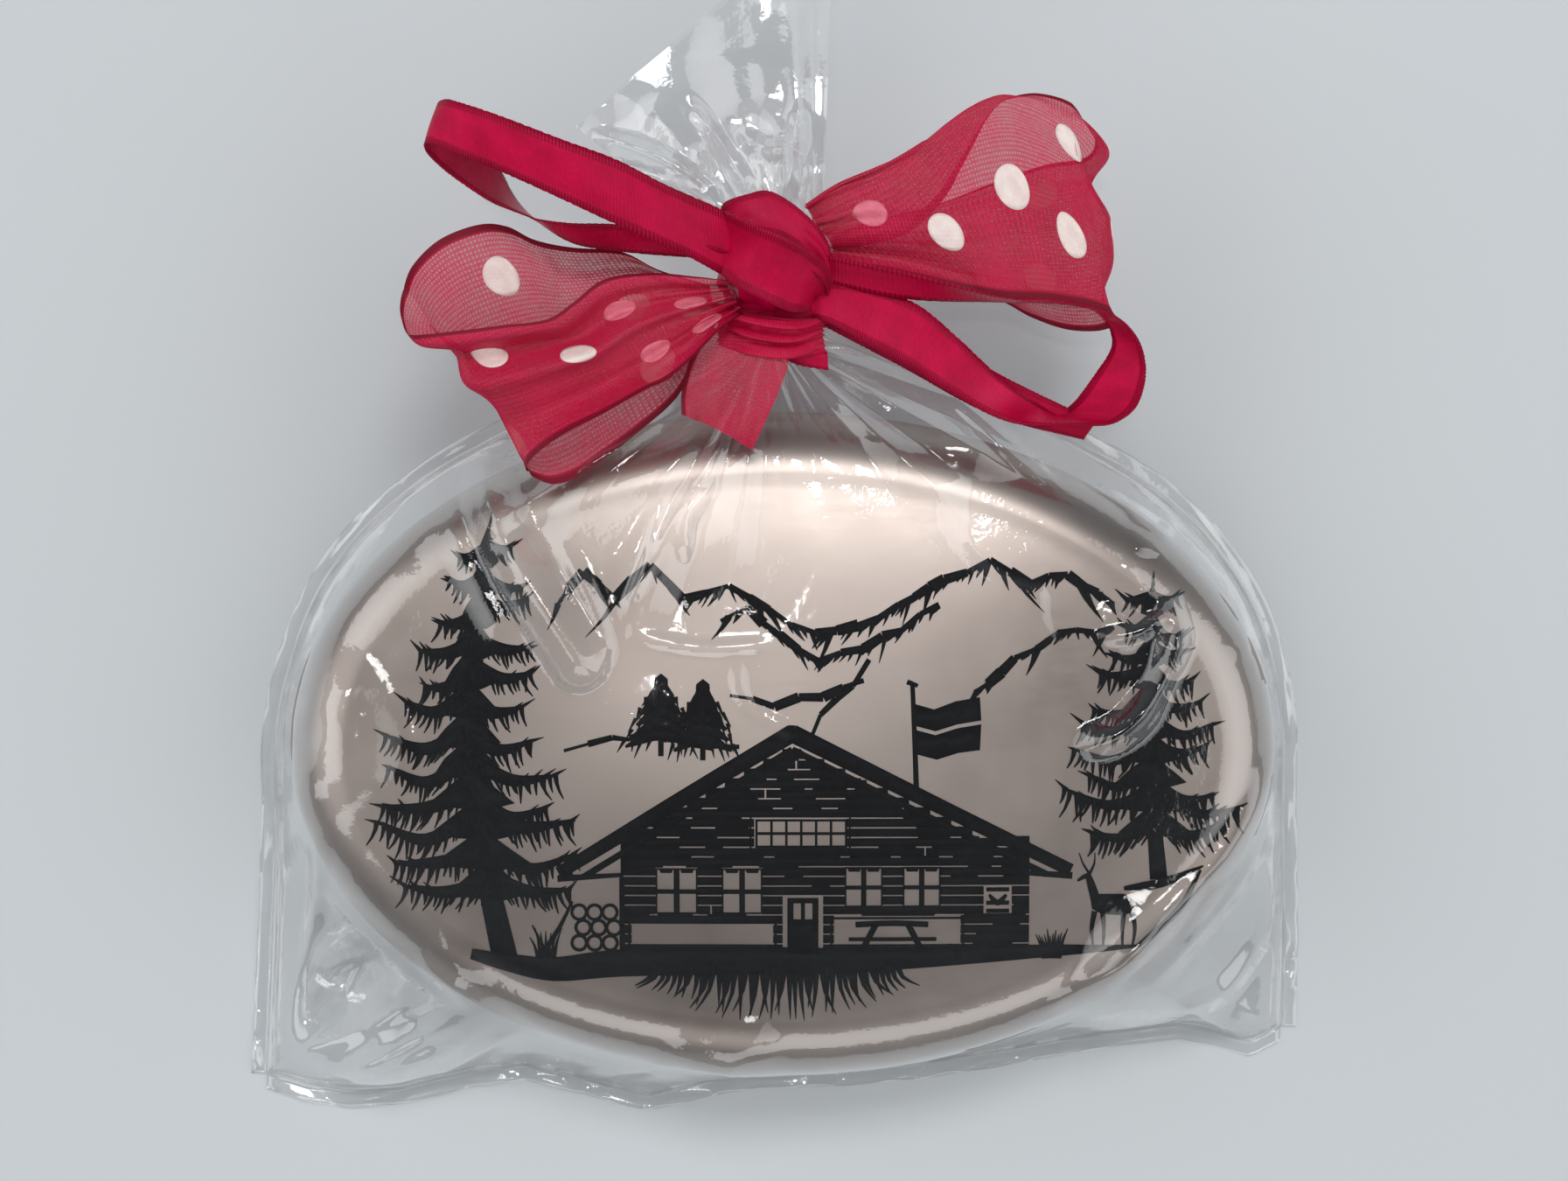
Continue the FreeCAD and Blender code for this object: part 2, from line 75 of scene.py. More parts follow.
class Slot(Enum):
    """The record's material slots."""

    STEEL = "steel"
    INK = "print_ink"
    FILM = "film"
    ORGANZA = "organza"
    DOTS = "dots"
    SATIN = "satin"


class Facing(Enum):
    """The two walls of the bag: above the soap and below it."""

    FRONT = 1
    BACK = -1


# ------------------------------------------------------------------ curves and small sums


def eased(values: np.ndarray, start: float, end: float) -> np.ndarray:
    """0 before start, 1 after end, and smooth in between."""
    share = np.clip((values - start) / (end - start), 0.0, 1.0)
    return share * share * (3 - 2 * share)


class Route:
    """A smooth line through a few given points."""

    def __init__(self, points: Sequence[Sequence[float]]) -> None:
        """Keeps the points, with one more past each end so that the line starts and ends on them.

        Args:
            points: what it runs through, in order.
        """
        inner = [Vector(p) for p in points]
        self.points = [inner[0] * 2 - inner[1], *inner, inner[-1] * 2 - inner[-2]]
        self.spans = len(inner) - 1

    def at(self, share: float) -> Vector:
        """The point at a share of the way, from 0 to 1.

        Args:
            share: how far along, counted in spans between points.

        Returns:
            The point on the line.
        """
        along = min(max(share, 0.0), 1.0) * self.spans
        first = min(int(along), self.spans - 1)
        t = along - first
        a, b, c, d = self.points[first:first + 4]
        return 0.5 * (2 * b + (c - a) * t + (2 * a - 5 * b + 4 * c - d) * t * t
                      + (3 * b - a - 3 * c + d) * t * t * t)

    def length(self, steps: int = 80) -> float:
        """How long the line is."""
        spots = [self.at(i / steps) for i in range(steps + 1)]
        return sum((b - a).length for a, b in zip(spots, spots[1:]))


# ------------------------------------------------------------------ making pieces


def finish_piece(bm: Mesh, name: str, material: Material,
                 replaces: Sequence[str] = ()) -> Piece:
    """Turns a bmesh in millimetres into a piece that rides on the body.

    Args:
        bm: the mesh, which is freed.
        name: the piece's name.
        material: what it is made of.
        replaces: CAD nodes that it stands for.

    Returns:
        The new object, at the origin.
    """
    bmesh.ops.scale(bm, vec=(MM, MM, MM), verts=bm.verts)
    for face in bm.faces:
        face.smooth = True
    mesh = bpy.data.meshes.new(name)
    bm.to_mesh(mesh)
    bm.free()
    mesh.materials.append(material)
    piece = bpy.data.objects.new(name, mesh)
    bpy.context.scene.collection.objects.link(piece)
    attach(piece, BODY)
    if replaces:
        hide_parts(*replaces)
    LOG.info("%s: %d faces", name, len(mesh.polygons))
    return piece


def thicken(piece: Piece, name: str, thickness: float) -> Piece:
    """Gives a sheet its thickness, half of it to each side.

    Args:
        piece: the sheet.
        name: what the thickness is called.
        thickness: in millimetres.

    Returns:
        The same piece.
    """
    skin = piece.modifiers.new(name, "SOLIDIFY")
    skin.thickness, skin.offset = thickness * MM, 0.0
    return piece


def unit_grid(bm: Mesh, columns: int, rows: int) -> list[tuple[bmesh.types.BMVert, float, float]]:
    """Adds a flat grid and gives each new vertex with its two shares, each from 0 to 1."""
    made = bmesh.ops.create_grid(bm, x_segments=columns, y_segments=rows, size=0.5)["verts"]
    return [(vert, vert.co.x + 0.5, vert.co.y + 0.5) for vert in made]


def lay_uv(bm: Mesh, spots: dict[bmesh.types.BMVert, Flat]) -> None:
    """Writes each vertex's place on the flat cloth, in millimetres, as its UV.

    Args:
        bm: the mesh.
        spots: each vertex's place on the flat cloth.
    """
    layer = bm.loops.layers.uv.verify()
    for face in bm.faces:
        for loop in face.loops:
            if loop.vert in spots:
                loop[layer].uv = spots[loop.vert]


# ------------------------------------------------------------------ finishes


class Bench:
    """A node tree that is being put together."""

    def __init__(self, tree: bpy.types.NodeTree) -> None:
        """Keeps the tree."""
        self.tree = tree

    def put(self, kind: str, inputs: dict | None = None, **settings: object) -> Node:
        """Adds a node.

        Args:
            kind: the node's type.
            inputs: for each socket's name or number, a value or another node's socket.
            settings: the node's own options.

        Returns:
            The node.
        """
        node = self.tree.nodes.new(kind)
        for key, value in settings.items():
            setattr(node, key, value)
        return self.fill(node, inputs or {})

    def fill(self, node: Node, inputs: dict) -> Node:
        """Gives a node's sockets their values.

        Args:
            node: the node.
            inputs: for each socket's name or number, a value or another node's socket.

        Returns:
            The same node.
        """
        for key, value in inputs.items():
            if isinstance(value, Socket):
                self.tree.links.new(value, node.inputs[key])
            else:
                node.inputs[key].default_value = value
        return node

    def group(self, tree: bpy.types.NodeTree, inputs: dict) -> Node:
        """Adds a shared effect with this finish's own values."""
        return self.fill(self.put("ShaderNodeGroup", node_tree=tree), inputs)

    def math(self, operation: str, *values: object) -> Socket:
        """A sum of one or more values or sockets."""
        return self.put("ShaderNodeMath", dict(enumerate(values)), operation=operation).outputs[0]

    def blend(self, share: object, first: object, second: object) -> Socket:
        """A colour between two, by a share.

        Args:
            share: of the second colour.
            first: a colour or a socket.
            second: a colour or a socket.

        Returns:
            The mixed colour.
        """
        node = self.put("ShaderNodeMix", data_type="RGBA")
        for name, value in (("Factor_Float", share), ("A_Color", first), ("B_Color", second)):
            socket = next(s for s in node.inputs if s.identifier == name)
            if isinstance(value, Socket):
                self.tree.links.new(value, socket)
            else:
                socket.default_value = value
        return next(s for s in node.outputs if s.identifier == "Result_Color")

    def spread(self, value: object, low: float, high: float, to_low: float = 0.0,
               to_high: float = 1.0) -> Socket:
        """Maps a value from one range to another, held inside it."""
        return self.put("ShaderNodeMapRange", {"Value": value, "From Min": low, "From Max": high,
                                               "To Min": to_low, "To Max": to_high}).outputs[0]

    def place(self, kind: str) -> Socket:
        """Where a point of the surface is: on the Object, or on the flat cloth as UV."""
        return self.put("ShaderNodeTexCoord").outputs[kind]

    def bump(self, height: Socket, strength: float, distance: float) -> Socket:
        """A small relief, as a normal."""
        return self.put("ShaderNodeBump", {"Height": height, "Strength": strength,
                                           "Distance": distance}).outputs[0]

    def hem(self, flat: Socket, width: float, start: float, full: float) -> Socket:
        """A ribbon's two hems: 0 in the cloth, 1 at the edges.

        Args:
            flat: the place on the flat ribbon.
            width: the ribbon's width.
            start: how far from an edge the hem starts.
            full: how far from an edge it is whole.

        Returns:
            The share.
        """
        across = self.put("ShaderNodeSeparateXYZ", {0: flat}).outputs["Y"]
        from_middle = self.math("ABSOLUTE", self.math("SUBTRACT", across, width / 2))
        return self.spread(from_middle, width / 2 - start, width / 2 - full)

    def surface(self, shader: Node) -> None:
        """Makes a shader the material's surface."""
        self.put("ShaderNodeOutputMaterial", {0: shader.outputs[0]})


def tint(red: float, green: float, blue: float) -> Colour:
    """A colour, given as it looks on a screen from 0 to 255, for a socket.

    Args:
        red: its red.
        green: its green.
        blue: its blue.

    Returns:
        The linear colour.
    """
    def plain(value: float) -> float:
        """One channel without the screen's curve."""
        share = value / 255
        return share / 12.92 if share <= 0.04045 else ((share + 0.055) / 1.055) ** 2.4
    return plain(red), plain(green), plain(blue), 1.0


def new_group(name: str, inputs: Sequence[tuple[str, str, float]],
              outputs: Sequence[tuple[str, str]]) -> tuple[bpy.types.NodeTree, Bench, Node]:
    """An empty shader group with named sockets.

    Args:
        name: the group's name.
        inputs: each input's name, kind and usual value.
        outputs: each output's name and kind.

    Returns:
        The group, a bench on it and its input node.
    """
    tree = bpy.data.node_groups.new(name, "ShaderNodeTree")
    for label, kind, usual in inputs:
        socket = tree.interface.new_socket(label, in_out="INPUT", socket_type="NodeSocket" + kind)
        if kind == "Float":
            socket.default_value = usual
    for label, kind in outputs:
        tree.interface.new_socket(label, in_out="OUTPUT", socket_type="NodeSocket" + kind)
    bench = Bench(tree)
    return tree, bench, bench.put("NodeGroupInput")


class Effects:
    """The effects that several finishes share, each built once."""

    def __init__(self) -> None:
        """Builds the two groups."""
        self.cloudy = self.build_cloudy()
        self.threads = self.build_threads()

    def build_cloudy(self) -> bpy.types.NodeTree:
        """Soft cloudy unevenness with a finer grain in it.

        Returns:
            The shader group.
        """
        tree, bench, given = new_group(
            "cloudy", [("Vector", "Vector", 0), ("Size", "Float", 100.0), ("Grain", "Float", 0.3)],
            [("Value", "Float"), ("Height", "Float")])
        wide = bench.put("ShaderNodeTexNoise", {"Vector": given.outputs["Vector"],
                                                "Scale": given.outputs["Size"], "Detail": 3.0})
        size = bench.math("MULTIPLY", given.outputs["Size"], 9.0)
        fine = bench.put("ShaderNodeTexNoise", {"Vector": given.outputs["Vector"], "Scale": size,
                                                "Detail": 2.0})
        share = bench.math("MULTIPLY", fine.outputs["Fac"], given.outputs["Grain"])
        value = bench.math("ADD", wide.outputs["Fac"], bench.math(
            "SUBTRACT", share, bench.math("MULTIPLY", given.outputs["Grain"], 0.5)))
        bench.put("NodeGroupOutput", {"Value": value, "Height": fine.outputs["Fac"]})
        return tree

    def build_threads(self) -> bpy.types.NodeTree:
        """Crossed threads on a ribbon's own flat millimetres.

        Returns:
            The shader group.
        """
        tree, bench, given = new_group(
            "threads", [("Vector", "Vector", 0), ("Warp Pitch", "Float", 0.3),
                        ("Weft Pitch", "Float", 0.3)],
            [("Warp", "Float"), ("Weft", "Float"), ("Cover", "Float")])
        apart = bench.put("ShaderNodeSeparateXYZ", {0: given.outputs["Vector"]})
        rows = []
        for axis, pitch in (("Y", "Warp Pitch"), ("X", "Weft Pitch")):
            turns = bench.math("DIVIDE", apart.outputs[axis], given.outputs[pitch])
            wave = bench.math("SINE", bench.math("MULTIPLY", turns, math.pi))
            rows.append(bench.math("MULTIPLY", wave, wave))
        cover = bench.math("MAXIMUM", *rows)
        bench.put("NodeGroupOutput", {"Warp": rows[0], "Weft": rows[1], "Cover": cover})
        return tree


def start_material(name: str) -> tuple[Material, Bench]:
    """An empty material.

    Args:
        name: its name.

    Returns:
        The material and a bench on its node tree.
    """
    material = bpy.data.materials.new(name)
    material.use_nodes = True
    material.node_tree.nodes.clear()
    return material, Bench(material.node_tree)


@dataclass(frozen=True)
class SteelFinish:
    """Satin stainless steel with a faint cloudiness."""

    colour: Colour = tint(180, 169, 162)
    warm: Colour = tint(162, 149, 142)
    roughness: float = 0.34

    def build(self, effects: Effects) -> Material:
        """Makes the material.

        Args:
            effects: the shared effects.

        Returns:
            The material.
        """
        material, bench = start_material("satin_steel")
        place = bench.place("Object")
        cloud = bench.group(effects.cloudy, {"Vector": place, "Size": 55.0, "Grain": 0.2})
        along = bench.put("ShaderNodeMapping", {"Vector": place, "Scale": (1.0, 22.0, 22.0)})
        brushed = bench.put("ShaderNodeTexNoise", {"Vector": along.outputs[0], "Scale": 260.0,
                                                   "Detail": 2.0})
        rough = bench.math("ADD", bench.spread(cloud.outputs["Value"], 0.3, 0.7, -0.04, 0.07),
                           bench.spread(brushed.outputs["Fac"], 0.3, 0.7, self.roughness - 0.01,
                                        self.roughness + 0.015))
        bump = bench.bump(cloud.outputs["Height"], 0.04, 0.0002)
        shader = bench.put("ShaderNodeBsdfPrincipled", {
            "Base Color": bench.blend(cloud.outputs["Value"], self.warm, self.colour),
            "Metallic": 1.0, "Roughness": rough, "Normal": bump})
        bench.surface(shader)
        return material


@dataclass(frozen=True)
class InkFinish:
    """Black enamel ink, slightly uneven."""

    deep: Colour = tint(5, 6, 8)
    worn: Colour = tint(17, 19, 23)

    def build(self, effects: Effects) -> Material:
        """Makes the material.

        Args:
            effects: the shared effects.

        Returns:
            The material.
        """
        material, bench = start_material("black_ink")
        place = bench.place("Object")
        cloud = bench.group(effects.cloudy, {"Vector": place, "Size": 260.0, "Grain": 0.6})
        bump = bench.bump(cloud.outputs["Height"], 0.1, 0.0001)
        shader = bench.put("ShaderNodeBsdfPrincipled", {
            "Base Color": bench.blend(bench.spread(cloud.outputs["Value"], 0.35, 0.75), self.deep,
                                      self.worn),
            "Roughness": bench.spread(cloud.outputs["Value"], 0.3, 0.7, 0.42, 0.58),
            "Specular IOR Level": 0.05, "Normal": bump})
        bench.surface(shader)
        return material


@dataclass(frozen=True)
class FilmFinish:
    """Clear glossy film: it shows by its reflections, and by a slight haze where it turns away."""

    haze: float = 0.002
    edge_haze: float = 0.46
    gloss: float = 0.045
    fold_gloss: float = 0.11
    haze_power: float = 2.2
    glint_power: float = 3.2
    roughness: float = 0.05

    def build(self, effects: Effects) -> Material:
        """Makes the material.

        Args:
            effects: the shared effects.

        Returns:
            The material.
        """
        material, bench = start_material("clear_film")
        place = bench.place("Object")
        cloud = bench.group(effects.cloudy, {"Vector": place, "Size": 320.0, "Grain": 0.15})
        bump = bench.bump(cloud.outputs["Value"], 0.25, 0.0003)
        facing = bench.put("ShaderNodeLayerWeight", {"Blend": 0.5, "Normal": bump})
        away = bench.math("POWER", facing.outputs["Facing"], self.haze_power)
        veil = bench.put("ShaderNodeBsdfPrincipled", {"Base Color": tint(236, 240, 243),
                                                      "Roughness": 0.6, "Normal": bump})
        mirror = bench.put("ShaderNodeBsdfPrincipled", {
            "Base Color": (1.0, 1.0, 1.0, 1.0), "Metallic": 1.0, "Roughness": self.roughness,
            "Normal": bump})
        clear = bench.put("ShaderNodeBsdfTransparent")
        hazy = bench.put("ShaderNodeMixShader", {
            0: bench.math("MULTIPLY_ADD", away, self.edge_haze, self.haze),
            1: clear.outputs[0], 2: veil.outputs[0]})
        base = bench.spread(facing.outputs["Facing"], 0.012, 0.11, self.gloss,
                            self.gloss + self.fold_gloss)
        tilted = bench.math("POWER", facing.outputs["Facing"], self.glint_power)
        glint = bench.math("ADD", tilted, base)
        mixed = bench.put("ShaderNodeMixShader", {0: glint, 1: hazy.outputs[0],
                                                  2: mirror.outputs[0]})
        bench.surface(mixed)
        return material


@dataclass(frozen=True)
class OrganzaFinish:
    """Sheer woven ribbon: fine open threads between two close-woven selvedges, and a painted
    highlight.
    """

    name: str = "sheer_organza"
    thread: Colour = tint(188, 4, 58)
    # lit: a lighter copy of the thread colour, a painted highlight.
    lit: Colour = tint(212, 24, 82)
    selvedge: Colour = tint(120, 2, 34)
    width: float = ORGANZA_WIDTH
    hem: float = 0.6
    open_cover: float = 0.53
    thread_cover: float = 0.97

    def build(self, effects: Effects) -> Material:
        """Makes the material.

        Args:
            effects: the shared effects.

        Returns:
            The material.
        """
        material, bench = start_material(self.name)
        flat = bench.place("UV")
        threads = bench.group(effects.threads, {"Vector": flat, **ORGANZA_WEAVE})
        cloud = bench.group(effects.cloudy, {"Vector": flat, "Size": 0.28, "Grain": 0.9})
        rim = bench.hem(flat, self.width, self.hem, self.hem * 0.6)
        cover = bench.math("MULTIPLY_ADD", bench.spread(cloud.outputs["Value"], 0.2, 0.8), 0.16,
                           bench.spread(threads.outputs["Cover"], 0.3, 1.0, self.open_cover,
                                        self.thread_cover - 0.16))
        facing = bench.put("ShaderNodeLayerWeight", {"Blend": 0.5})
        closing = bench.math("MULTIPLY_ADD", bench.math("POWER", facing.outputs["Facing"], 2.0),
                             0.4, cover)
        alpha = bench.put("ShaderNodeMath", {0: closing, 1: rim}, operation="ADD", use_clamp=True)
        # Painted highlight: the weft threads are blended towards the lit colour in random cloudy
        # patches.
        woven = bench.blend(bench.math("MULTIPLY", threads.outputs["Weft"],
                                       bench.spread(cloud.outputs["Value"], 0.35, 0.8)),
                            self.thread, self.lit)
        bump = bench.bump(threads.outputs["Cover"], 0.3, 0.00004)
        shader = bench.put("ShaderNodeBsdfPrincipled", {
            "Base Color": bench.blend(rim, woven, self.selvedge), "Alpha": alpha.outputs[0],
            "Roughness": 0.6, "Specular IOR Level": 0.25, "Sheen Weight": 0.05,
            "Sheen Roughness": 0.4, "Sheen Tint": tint(240, 110, 150), "Normal": bump})
        bench.surface(shader)
        return material


@dataclass(frozen=True)
class DotFinish:
    """Opaque white print on the sheer ribbon; the weave shows through it faintly."""

    name: str = "white_dots"
    white: Colour = tint(246, 232, 226)
    shade: Colour = tint(228, 202, 198)

    def build(self, effects: Effects) -> Material:
        """Makes the material.

        Args:
            effects: the shared effects.

        Returns:
            The material.
        """
        material, bench = start_material(self.name)
        flat = bench.place("UV")
        threads = bench.group(effects.threads, {"Vector": flat, **ORGANZA_WEAVE})
        cloud = bench.group(effects.cloudy, {"Vector": flat, "Size": 0.9, "Grain": 0.7})
        bump = bench.bump(threads.outputs["Cover"], 0.3, 0.00003)
        shader = bench.put("ShaderNodeBsdfPrincipled", {
            "Base Color": bench.blend(bench.spread(cloud.outputs["Value"], 0.3, 0.8), self.white,
                                      self.shade), "Roughness": 0.6, "Normal": bump})
        bench.surface(shader)
        return material


@dataclass(frozen=True)
class SatinFinish:
    """Crimson satin: fine ribs across the ribbon and a soft sheen, with corded edges, and a painted
    highlight.
    """

    name: str = "crimson_satin"
    width: float = SATIN_WIDTH
    hem: float = 0.44
    hem_full: float = 0.36
    deep: Colour = tint(168, 0, 48)
    # lit: a lighter copy of the satin's colour, a painted highlight.
    lit: Colour = tint(202, 4, 68)
    edge: Colour = tint(118, 0, 30)

    def build(self, effects: Effects) -> Material:
        """Makes the material.

        Args:
            effects: the shared effects.

        Returns:
            The material.
        """
        material, bench = start_material(self.name)
        flat = bench.place("UV")
        ribs = bench.group(effects.threads, {"Vector": flat, "Warp Pitch": 0.09,
                                             "Weft Pitch": 0.16})
        cloud = bench.group(effects.cloudy, {"Vector": flat, "Size": 0.5, "Grain": 0.4})
        rim = bench.hem(flat, self.width, self.hem, self.hem_full)
        stitch = bench.math("MULTIPLY", rim, ribs.outputs["Weft"])
        height = bench.math("ADD", bench.math("MULTIPLY", ribs.outputs["Weft"], 0.4), stitch)
        bump = bench.bump(height, 0.6, 0.00006)
        # Painted highlight: the lit colour is blended into the satin's face in random cloudy patches.
        face = bench.blend(bench.spread(cloud.outputs["Value"], 0.3, 0.75), self.deep, self.lit)
        shader = bench.put("ShaderNodeBsdfPrincipled", {
            "Base Color": bench.blend(bench.math("MULTIPLY", stitch, 0.9), face, self.edge),
            "Roughness": bench.spread(ribs.outputs["Weft"], 0.0, 1.0, 0.42, 0.34),
            "Sheen Weight": 0.06, "Sheen Roughness": 0.35, "Sheen Tint": tint(255, 60, 120),
            "Anisotropic": 0.5, "Specular IOR Level": 0.4, "Specular Tint": tint(255, 150, 180),
            "Normal": bump})
        bench.surface(shader)
        return material


@dataclass(frozen=True)
class FloorFinish:
    """A plain pale table."""

    colour: Colour = tint(206, 211, 214)

    def build(self) -> Material:
        """Makes the material.

        Returns:
            The material.
        """
        material, bench = start_material("pale_table")
        shader = bench.put("ShaderNodeBsdfPrincipled", {"Base Color": self.colour,
                                                        "Roughness": 0.75})
        bench.surface(shader)
        return material


@dataclass(frozen=True)
class Finishes:
    """Every finish of the object, ready to use."""

    steel: Material
    ink: Material
    film: Material
    organza: Material
    gathered: Material
    dots: Material
    veiled: Material
    satin: Material

    @classmethod
    def build(cls) -> "Finishes":
        """Makes all the materials.

        Returns:
            The finishes.
        """
        effects = Effects()
        gathered = OrganzaFinish("gathered_organza", open_cover=0.8, thread_cover=1.1)
        veiled = DotFinish("veiled_dots", tint(232, 128, 146), tint(208, 78, 108))
        kinds = (SteelFinish(), InkFinish(), FilmFinish(), OrganzaFinish(), gathered, DotFinish(),
                 veiled, SatinFinish())
        return cls(*(kind.build(effects) for kind in kinds))


# ------------------------------------------------------------------ steel soap


@dataclass
class Soap:
    """An oval steel pebble of two stamped halves, with a domed face and rounded shoulders."""

    length: float = 75.0
    width: float = 50.5
    height: float = 17.4
    crown_rise: float = 2.4
    shoulder: float = 5.4
    middle: float = 9.1
    seam: float = 0.3
    around: int = 200
    finishes: Finishes | None = None

    def depth(self, angle: float) -> float:
        """How deep the rim lies from the middle, square to the rim, at a direction.

        Args:
            angle: the direction.

        Returns:
            The depth.
        """
        run, rise = math.cos(angle), math.sin(angle)
        rim = self.rim(angle)
        return 1 / math.hypot(rim * run / (self.length / 2) ** 2, rim * rise / (self.width / 2) ** 2)

    def rim(self, angle: float) -> float:
        """Distance of the rim from the middle at a direction."""
        return 1 / math.hypot(math.cos(angle) / (self.length / 2), math.sin(angle) / (self.width / 2))

    def crown_height(self, share: float) -> float:
        """Height of the domed face above the waist, at a share of the way to the rim.

        Args:
            share: 0 in the middle, 1 at the rim.

        Returns:
            The height.
        """
        half = self.height / 2
        brow = 1 - self.crown_rise / half
        return half * math.sqrt(max(1 - (1 - brow * brow) * share * share, 0))

    def metal_height(self, share: float, depth: float) -> float:
        """The same with the shoulder rounded.

        Args:
            share: 0 in the middle, 1 at the rim.
            depth: of the rim there.

        Returns:
            The height.
        """
        rim_gap = (1 - share) * depth
        if rim_gap >= self.shoulder:
            return self.crown_height(share)
        start = self.crown_height(1 - self.shoulder / depth)
        fall = self.shoulder - rim_gap
        return start - self.shoulder + math.sqrt(max(self.shoulder ** 2 - fall ** 2, 0))

    def top(self, x: float, y: float) -> float:
        """Height of the metal's upper face above the table at a place.

        Args:
            x: the place across.
            y: the place along.

        Returns:
            The height.
        """
        angle = math.atan2(y, x)
        share = min(math.hypot(x, y) / self.rim(angle), 1.0)
        return self.middle + self.metal_height(share, self.depth(angle))

    def profile(self, depth: float) -> list[Flat]:
        """The half's outline from its middle over the shoulder to the waist: share and height.

        Args:
            depth: of the rim there.

        Returns:
            Each point's share of the way out and its height.
        """
        inner = 1 - self.shoulder / depth
        face, turn = 26, 18
        spots = [(inner * step / face, self.crown_height(inner * step / face))
                 for step in range(face)]
        start = self.crown_height(inner)
        for step in range(turn + 1):
            angle = math.pi / 2 * step / turn
            spots.append((1 - self.shoulder / depth * (1 - math.sin(angle)),
                          start - self.shoulder * (1 - math.cos(angle))))
        lip = self.seam / depth
        return spots + [(1.0, self.seam), (1 - lip * 0.3, self.seam * 0.3), (1 - lip, 0.0),
                        (0.8, 0.0), (0.0, 0.0)]

    def shell(self, name: str, facing: Facing, node: str) -> Piece:
        """One stamped half, a closed body.

        Args:
            name: the piece's name.
            facing: above or below the waist.
            node: the CAD node that it stands for.

        Returns:
            The piece.
        """
        bm = bmesh.new()
        rows = len(self.profile(self.width / 2)) - 1
        profiles = [self.profile(self.depth(2 * math.pi * step / self.around))
                    for step in range(self.around)]
        for vert, turn, share in unit_grid(bm, self.around, rows):
            step = round(turn * self.around) % self.around
            angle = 2 * math.pi * step / self.around
            reach, rise = profiles[step][round(share * rows)]
            rim = self.rim(angle) * reach
            vert.co = (rim * math.cos(angle), rim * math.sin(angle),
                       self.middle + facing.value * rise)
        bmesh.ops.remove_doubles(bm, verts=bm.verts, dist=0.0005)
        bmesh.ops.recalc_face_normals(bm, faces=bm.faces)
        return finish_piece(bm, name, self.finishes.steel, (node,))

    def build(self) -> None:
        """Makes both halves."""
        self.shell("steel_upper_half", Facing.FRONT, "soap_upper_shell")
        self.shell("steel_lower_half", Facing.BACK, "soap_lower_shell")


# ------------------------------------------------------------------ printed picture


# The printed hut: its ridge, the roof's underside there, the fall of each roof side, and its walls.
HUT_RIDGE, HUT_UNDER_ROOF = 0.7, 0.2
ROOF_FALL_LEFT, ROOF_FALL_RIGHT = 0.51, 0.46
HUT_LEFT, HUT_RIGHT, HUT_FOOT = -12.0, 18.3, -15.2
# Its openings, each as left, right, low and high. The first four are windows with panes.
OPENINGS = [(-9.4, -6.3, -12.3, -8.9), (-4.5, -1.5, -12.3, -8.9), (4.6, 7.4, -11.8, -8.8),
            (8.9, 11.7, -11.8, -8.8), (-11.2, -0.7, -14.7, -12.9), (3.8, 13.2, -14.7, -12.6),
            (-2.1, 4.7, -7.4, -5.2), (14.9, 17.0, -12.2, -10.2), (0.0, 3.0, -15.3, -10.8)]


